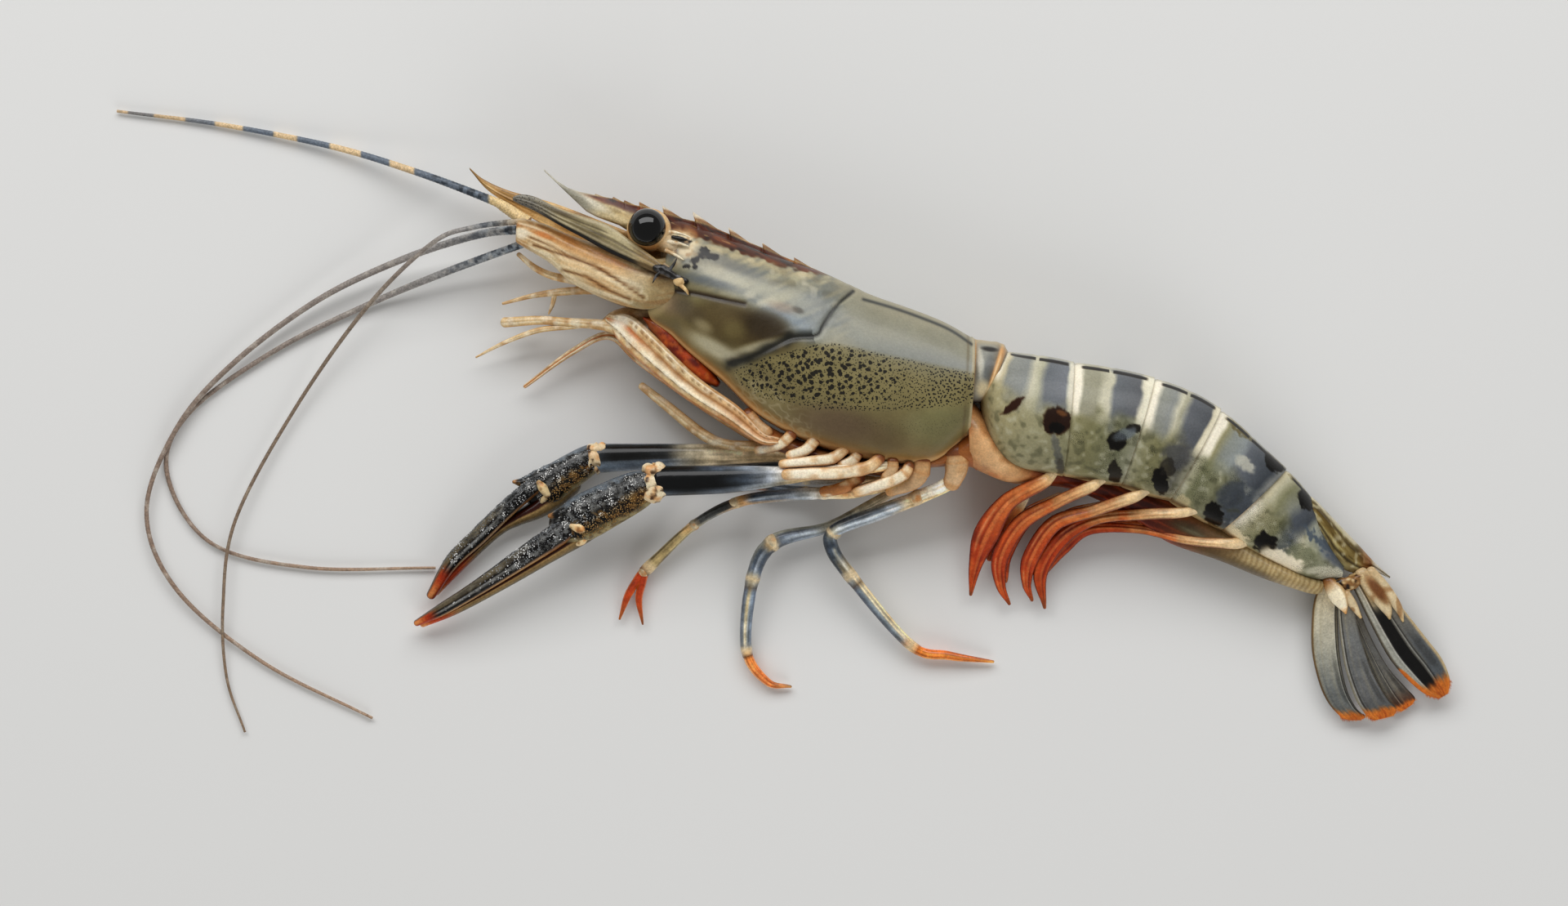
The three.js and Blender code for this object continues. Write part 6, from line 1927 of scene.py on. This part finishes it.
def fringeTree():
    # thin tapered hairs that stand out from the edge curve of a blade
    sizes = {"Spacing": 0.00022, "Length": 0.002, "Thickness": 0.00009, "Seed": 2}
    tree, given, node = openTree("bladeFringe", "Edge", sizes, "Fringe")
    direction = node("GeometryNodeInputNamedAttribute", data_type="FLOAT_VECTOR")
    direction.inputs["Name"].default_value = "outward"
    edge = node("GeometryNodeMeshToCurve", {"Mesh": given.outputs["Edge"]})
    points = node("GeometryNodeCurveToPoints",
        {"Curve": edge.outputs[0], "Length": given.outputs["Spacing"]}, mode="LENGTH")
    cone = node("GeometryNodeMeshCone", {"Vertices": 5, "Side Segments": 1, "Radius Top": 0.08,
        "Radius Bottom": 1, "Depth": 1})
    wave = node("FunctionNodeRandomValue", {"Seed": given.outputs["Seed"]},
        data_type="FLOAT_VECTOR")
    wave.inputs[0].default_value = (-0.14, -0.14, -0.04)
    wave.inputs[1].default_value = (0.14, 0.14, 0.06)
    aim = node("ShaderNodeVectorMath", {0: direction.outputs["Attribute"], 1: wave.outputs[0]},
        operation="ADD")
    turn = node("FunctionNodeAlignRotationToVector", {"Vector": aim.outputs[0]}, axis="Z")
    size = node("FunctionNodeRandomValue", {2: 0.75, 3: 1.1, "Seed": given.outputs["Seed"]},
        data_type="FLOAT")
    long = node("ShaderNodeMath", {0: size.outputs[1], 1: given.outputs["Length"]},
        operation="MULTIPLY")
    scale = node("ShaderNodeCombineXYZ", {0: given.outputs["Thickness"],
        1: given.outputs["Thickness"], 2: long.outputs[0]})
    hairs = node("GeometryNodeInstanceOnPoints",
        {"Points": points.outputs[0], "Instance": cone.outputs[0], "Rotation": turn.outputs[0],
        "Scale": scale.outputs[0]})
    return closeTree(tree, given, hairs.outputs[0])


fringes = fringeTree()


def edgeLine(name, points, outward):
    # a plain line of points that carries the direction its hairs lean in
    mesh = bpy.data.meshes.new(name)
    mesh.from_pydata([tuple(p * mm) for p in points], [(k, k + 1) for k in range(len(points) - 1)], [])
    writeData(mesh, "outward", "FLOAT_VECTOR", "vector", outward)
    return link(name, mesh)


def hairPaint(obj, tones):
    p = pointsOf(obj)
    writePaint(obj, put(plain(len(p), tones[0]), tones[1], fade(0.35, 0.75, cloud(p, 0.8, 4))))


for number, (name, blade) in enumerate(fan.items(), 1):
    grid = shell(blade["rows"], 14, 96, 0.75, None, bladeRelief(blade))
    addPiece("fanBlade%d" % number, [grid], paintBlade(blade), "fan", "tail_fan", name)
    p = grid["p"]
    n, m = grid["u"].shape
    start = int(n * 0.86)
    left = p[start:, 0]
    right = p[start:, m // 2][::-1]
    line = np.vstack([left, right])
    inner = p[start:].reshape(-1, 3).mean(0)
    along = unit(p[-1].mean(0) - p[int(n * 0.6)].mean(0))
    outward = unit(unit(line - inner) * 0.5 + along)
    outward[:, 2] = 0
    edge = edgeLine("fanEdge%d" % number, line - along * 0.8, outward)
    hairs = runTree("fanFringe%d" % number, edge, fringes,
        {"Surface": materials["hair"], "Length": 0.0011, "Thickness": 0.00011, "Spacing": 0.00011,
        "Seed": number})
    bpy.data.objects.remove(edge)
    hairPaint(hairs, ((190, 98, 40), (232, 158, 92)))
    finishPiece(hairs, "tail_fan")

fanBases = [
    [[94.4, -41.6, 6.6, 1.4, 1.2], [96.2, -44.4, 7.2, 1.9, 1.3], [97.4, -46.6, 7, 1.2, 1],
        [98, -48.2, 6.8, 0.3, 0.5]],
    [[98.2, -44.2, 6.6, 0.9, 1], [99.6, -46.6, 6.8, 0.9, 0.8], [101.2, -49.2, 6.6, 0.3, 0.4]],
    [[101.4, -40, 6.4, 1.5, 1.2], [104.2, -43.6, 6.6, 1.7, 1.1], [106.6, -47.2, 6.4, 1.2, 0.8],
        [107.4, -49.4, 6.2, 0.3, 0.4]],
    [[103.4, -39.6, 6.2, 1.2, 1.1], [106.6, -43.4, 6.4, 1.2, 1], [109.2, -47.2, 6.2, 0.9, 0.7],
        [110.2, -50, 6, 0.25, 0.3]],
    [[92.4, -41.2, 5.6, 0.7, 1.2], [96, -42.2, 6, 1, 1.6], [99.4, -41.8, 6.2, 1.5, 1.6],
        [101.6, -40, 6, 1, 1.4]],
]


def paintFanBase(g):
    u, c, p, part = g["u"], g["c"], g["p"], g["part"]
    colour = ramp(u, [(0, (150, 104, 64)), (0.25, (244, 230, 200)), (0.7, (250, 238, 210)),
        (1, (224, 168, 112))])
    colour = put(colour, (176, 132, 84), fade(0.5, 0.85, c) * 0.6)
    darker = np.isin(part, (1, 2, 3))
    brown = put(colour, (210, 190, 156), np.full(len(u), 0.8))
    brown = put(brown, (112, 70, 40), blob(p[:, 0], p[:, 1], (104.6, -43.4), (3.4, 1.1), -51, 0.5) * 0.9)
    brown = put(brown, (128, 84, 50), fade(0.55, 0.85, cloud(p, 1.4, 3)) * 0.5)
    brown = put(brown, (206, 178, 134), fade(0.86, 0.96, u) * 0.7)
    colour = np.where(darker[:, None], brown, colour)
    joint = part == 4
    tangled = put(put(plain(len(u), (150, 114, 78)), (222, 198, 156),
        fade(0.45, 0.75, cloud(p, 0.9, 5))), (44, 30, 22), fade(0.36, 0.18, cloud(p, 0.8, 6)))
    colour = np.where(joint[:, None], tangled, colour)
    return colour


addPiece("fanBases", [tube(r, 14, 32, lumpy(0.8, 5, 8) if k == 4 else None) for k,
    r in enumerate(fanBases)], paintFanBase, "cream", "tail_fan")
print("tail fan")


# swimmerets

swimmerets = [
    [[36.6, -17.4, 13.6, 1, 0.8], [35, -19.6, 14.6, 1.2, 0.9], [33.2, -20.9, 15.2, 1.5, 1],
        [26.4, -24.8, 11.6, 1.9, 0.9], [22.2, -31.4, 7.4, 2.7, 0.7], [20, -38, 4.2, 1.5, 0.6],
        [19, -44.5, 2, 0.35, 0.4]],
    [[47.6, -19.2, 13, 0.8, 0.8], [45.4, -20.6, 14.4, 0.9, 0.9], [43.4, -21.7, 15, 1.25, 1],
        [36.6, -24.9, 12.2, 1.35, 0.9], [29.4, -29.2, 9, 1.8, 0.8], [25.2, -36.4, 5.2, 1.8, 0.7],
        [25.3, -42.4, 3, 1.1, 0.6], [27.2, -46.5, 1.6, 0.35, 0.4]],
    [[57, -21.4, 12, 0.8, 0.8], [54.6, -23, 13.6, 0.9, 0.9], [52, -24, 14.2, 1.3, 1],
        [44.6, -26.6, 11.4, 1.3, 0.9], [36.4, -29.4, 8.6, 1.7, 0.8], [31.6, -36.6, 5.2, 1.8, 0.7],
        [30.8, -42, 3.2, 1.05, 0.6], [32, -45.7, 1.8, 0.35, 0.4]],
    [[68.4, -25.6, 10.8, 0.8, 0.8], [65.4, -26.6, 12.4, 0.9, 0.9], [62, -27.1, 12.8, 1.15, 1],
        [55, -27.4, 10.8, 1.2, 0.9], [45.4, -28.4, 8.6, 1.2, 0.8], [38.2, -32.4, 6.2, 1.7, 0.7],
        [33.8, -39.6, 3.8, 1.6, 0.6], [34.7, -47.3, 1.6, 0.35, 0.4]],
    [[78.4, -32.4, 8.6, 0.9, 0.8], [75.4, -33.4, 10.2, 1.2, 1], [72, -33.5, 10.8, 1.1, 1],
        [64, -32.8, 9, 0.95, 0.8], [54.4, -30.6, 7.2, 0.95, 0.7], [44, -30.6, 5.4, 1.25, 0.7],
        [38.6, -34.6, 3.4, 1.4, 0.6], [34.8, -40, 1.8, 0.4, 0.4]],
]
rightShift = [(3, 1.2), (1, 0.8), (2.4, 0.8), (1, 1), (1, 1)]


def bladeSwell(u, a):
    c = np.cos(a)
    ridge = 0.18 * bell(c, 0.1, 0.12) - 0.14 * bell(c, -0.3, 0.15) - 0.1 * bell(c, 0.5, 0.15)
    return 1 + ridge * np.abs(np.sin(a)) * fade(0.2, 0.4, u)


def paintSwimmeret(pale):
    def paint(g):
        u, c, p = g["u"], g["c"], g["p"]
        colour = ramp(u, [(0, (240, 222, 190)), (0.26 * pale, (230, 198, 154)),
            (0.42 * pale, (208, 138, 88)), (0.62, (196, 92, 46)), (0.8, (172, 66, 28)),
            (0.94, (182, 80, 38)), (1, (150, 96, 62))])
        streak = streaks(u * 6, c * 4, u * 0, 3)
        colour = coats(colour, [
            ((216, 126, 76), fade(0.5, 0.85, streak) * fade(0.1, 0.4, u) * 0.5),
            ((210, 104, 54), fade(0.5, 0.8, cloud(p, 2.6, 63)) * fade(0.3, 0.5, u) * 0.6),
            ((96, 24, 10), fade(0.36, 0.12, streak) * fade(0.2, 0.5, u) * 0.45),
            ((70, 16, 8), fade(0.7, 0.98, np.abs(c)) * fade(0.15, 0.35, u) * 0.5),
            # the lighter midrib line and the thin white line are painted highlights
            ((240, 190, 146), bell(c, 0.1, 0.12) * fade(0.2, 0.4, u) * fade(1, 0.85, u) * 0.4),
            ((250, 232, 206), bell(c, -0.45, 0.05) * fade(0.35, 0.5, u) * fade(0.95, 0.8, u)
                * fade(0.4, 0.6, cloud(p, 3, 64)) * 0.8),
        ])
        return colour
    return paint


for index, rows in enumerate(swimmerets):
    pale = (0.9, 1.1, 1.2, 1.4, 1.4)[index]
    addPiece("swimmeretLeft%d" % (index + 1), [tube(rows, 14, 36, bladeSwell)], paintSwimmeret(pale),
        "swimmeret", "swimmeret", "swimmeret_left_%d" % (index + 1))
    shiftX, shiftY = rightShift[index]
    inner = rows[3:-1]
    moved = []
    for k, (x, y, z, wide, thick) in enumerate(inner):
        end = k == len(inner) - 1
        moved.append([x + shiftX, y + shiftY, z * 0.5 + 0.8, wide * (0.5 if end else 1), 0.5])
    addPiece("swimmeretRight%d" % (index + 1), [tube(moved, 14, 28, bladeSwell)], paintSwimmeret(0.4),
        "swimmeret", "swimmeret", "swimmeret_right_%d" % (index + 1))
print("swimmerets")


# feelers: each follows its route as a ringed, tapering curve

feelers = {
    "feeler_1": [[-74.6, 34, 9.4, 1.5], [-76.4, 35.2, 9, 1.3], [-79.6, 37.4, 8.2, 1.15],
        [-83, 39.1, 7.6, 0.9], [-98, 44.8, 4.4, 0.75], [-116.1, 50.4, 1.6, 0.65],
        [-140.1, 55.2, 0.6, 0.5], [-162.3, 58.1, 0.4, 0.3]],
    "feeler_2": [
        [-74.8, 32.4, 12.4, 0.9], [-76.3, 32.4, 12, 0.95], [-85.4, 31.4, 9, 0.85], [-101.7, 26.3, 5, 0.75],
        [-119.8, 17.7, 2.4, 0.65], [-137.9, 4.1, 1.8, 0.6], [-149.6, -9.5, 1.6, 0.55],
        [-155.9, -27, 1.4, 0.5], [-149.6, -43.4, 1.2, 0.5], [-131.5, -58.8, 0.6, 0.42],
        [-108, -70.8, 0.4, 0.3],
    ],
    "feeler_3": [
        [-74.6, 29.8, 10, 0.8], [-76.3, 29.3, 9.4, 0.85], [-92.6, 23.6, 4.6, 0.8], [-108.9, 17, 1, 0.65],
        [-128.8, 7.2, 0.6, 0.55], [-146.9, -5.9, 0.5, 0.5], [-151.7, -18.5, 0.5, 0.5],
        [-142.6, -33.4, 0.5, 0.42], [-122, -38.8, 0.5, 0.4], [-94.6, -38.9, 0.5, 0.3],
    ],
    "feeler_4": [
        [-74.8, 33.8, 14.4, 0.6], [-76.3, 34, 14.4, 0.65], [-86, 32.9, 12, 0.55], [-94.8, 29.6, 9.8, 0.5],
        [-108.9, 16.3, 5, 0.48], [-124.3, -5, 1.6, 0.42], [-136.9, -28.5, 1.8, 0.4],
        [-139.6, -46.6, 1.8, 0.36], [-139, -62, 0.6, 0.32], [-135.1, -73.8, 0.3, 0.25],
    ],
}


def feelerTree():
    sizes = {"Step": 0.00022, "Ring Step": 0.0008, "Ring Depth": 0.035}
    tree, given, node = openTree("ringedFeeler", "Route", sizes, "Feeler")
    thick = node("GeometryNodeInputNamedAttribute", data_type="FLOAT")
    thick.inputs["Name"].default_value = "thick"
    route = node("GeometryNodeMeshToCurve", {"Mesh": given.outputs["Route"]})
    even = node("GeometryNodeResampleCurve", {"Curve": route.outputs[0],
        "Length": given.outputs["Step"]}, mode="LENGTH")
    place = node("GeometryNodeSplineParameter")
    turns = node("ShaderNodeMath", {0: place.outputs["Length"], 1: given.outputs["Ring Step"]},
        operation="DIVIDE")
    phase = node("ShaderNodeMath", {0: turns.outputs[0], 1: 2 * math.pi}, operation="MULTIPLY")
    wave = node("ShaderNodeMath", {0: phase.outputs[0]}, operation="SINE")
    grow = node("ShaderNodeMath", {0: wave.outputs[0], 1: given.outputs["Ring Depth"], 2: 1},
        operation="MULTIPLY_ADD")
    radius = node("ShaderNodeMath", {0: grow.outputs[0], 1: thick.outputs["Attribute"]},
        operation="MULTIPLY")
    circle = node("GeometryNodeCurvePrimitiveCircle", {"Resolution": 10, "Radius": 1})
    body = node("GeometryNodeCurveToMesh", {"Curve": even.outputs[0],
        "Profile Curve": circle.outputs[0],
        "Scale": radius.outputs[0], "Fill Caps": True})
    return closeTree(tree, given, body.outputs[0])


def paintFeeler(name, obj, route):
    p = pointsOf(obj)
    _, where = fromPath(p[:, 0], p[:, 1], route[::6, :2])
    if name == "feeler_1":
        colour = coats(plain(len(p), (112, 122, 136)), [
            ((52, 60, 72), fade(0.5, 0.65, cloud(p, 0.8, 16)) * fade(-100, -94, p[:, 0]) * 0.7),
            ((222, 196, 152), fade(-83.4, -82.4, p[:, 0])),
        ])
        bands = np.cos((p[:, 0] + 101.5) * 2 * math.pi / 12.4 + 0.8 * (cloud(p, 6, 2) - 0.5))
        colour = coats(colour, [
            ((222, 194, 156), fade(-0.1, 0.2, bands) * fade(-96, -98, p[:, 0]) * 0.95),
            ((150, 130, 112), fade(0.8, 1, where) * 0.4),
        ])
    else:
        colour = ramp(where, [(0, (116, 130, 146)), (0.12, (138, 148, 158)), (0.24, (150, 148, 148)),
            (0.5, (140, 128, 122)), (0.75, (146, 128, 118)), (1, (170, 146, 128))])
        spots = fade(0.5, 0.62, cloud(p, 0.8, 6)) * fade(0.3, 0.1, where)
        colour = coats(colour, [
            ((44, 52, 66), spots * 0.8),
            ((190, 184, 176), fade(0.5, 0.8, cloud(p, 1.4, 3)) * 0.5),
        ])
    if name == "feeler_4":
        colour = coats(colour, [
            ((216, 186, 148), fade(0.2, 0.08, where) * 0.9),
            ((126, 112, 98), fade(0.3, 0.5, where) * 0.5),
        ])
    writePaint(obj, colour)


feelerNodes = feelerTree()
for number, (name, rows) in enumerate(feelers.items(), 1):
    route = spline(rows, 24)
    line = edgeLine("feelerRoute%d" % number, route[:, :3], np.zeros((len(route), 3)))
    writeData(line.data, "thick", "FLOAT", "value", route[:, 3] * mm)
    made = runTree("feelerCurve%d" % number, line, feelerNodes, {"Surface": materials["feeler"]})
    bpy.data.objects.remove(line)
    paintFeeler(name, made, route)
    finishPiece(made, "feeler", name)
print("feelers")


# floor, light and camera

stage = {
    "floorSize": 3, "floorTone": (0.74, 0.74, 0.73, 1), "floorRough": 0.7,
    "skyTone": (1, 0.99, 0.97, 1), "sky": 0.27,
    "viewHeight": 1.1, "lens": 120, "frameWidth": 0.3302, "centre": (-0.0206, -0.0145),
}
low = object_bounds()[0]
bpy.ops.mesh.primitive_plane_add(size=stage["floorSize"], location=(0, 0, low[2]))
floor = bpy.context.object
floor.name = "paleFloor"
floorMaterial = bpy.data.materials.new("paleFloor")
floorMaterial.use_nodes = True
floorShader = floorMaterial.node_tree.nodes["Principled BSDF"]
floorShader.inputs["Base Color"].default_value = stage["floorTone"]
floorShader.inputs["Roughness"].default_value = stage["floorRough"]
floor.data.materials.append(floorMaterial)
floor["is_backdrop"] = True

lights = {
    "window": {"at": (-0.12, 0.9, 0.85), "size": (2, 0.7), "power": 17},
    "fill": {"at": (0.35, -1.25, 0.5), "size": (0.9, 0.9), "power": 8},
}
for name, light in lights.items():
    lamp = bpy.data.lights.new(name, "AREA")
    lamp.shape = "RECTANGLE"
    lamp.size, lamp.size_y = light["size"]
    lamp.energy = light["power"]
    obj = link(name, lamp)
    obj.location = light["at"]
    obj.visible_glossy = name != "fill"
    obj.rotation_euler = (Vector((0, 0, 0)) - Vector(light["at"])).to_track_quat("-Z", "Y").to_euler()

world = bpy.data.worlds.new("studio")
world.use_nodes = True
world.node_tree.nodes["Background"].inputs[0].default_value = stage["skyTone"]
world.node_tree.nodes["Background"].inputs[1].default_value = stage["sky"]
bpy.context.scene.world = world

camera = bpy.data.cameras.new("camera")
camera.lens = stage["lens"]
camera.sensor_width = stage["lens"] * stage["frameWidth"] / stage["viewHeight"]
view = link("camera", camera)
view.location = (stage["centre"][0], stage["centre"][1], stage["viewHeight"] + 0.01)
bpy.context.scene.camera = view
bpy.context.scene.view_settings.view_transform = "Standard"

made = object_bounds()
print("pieces", len(pieces))
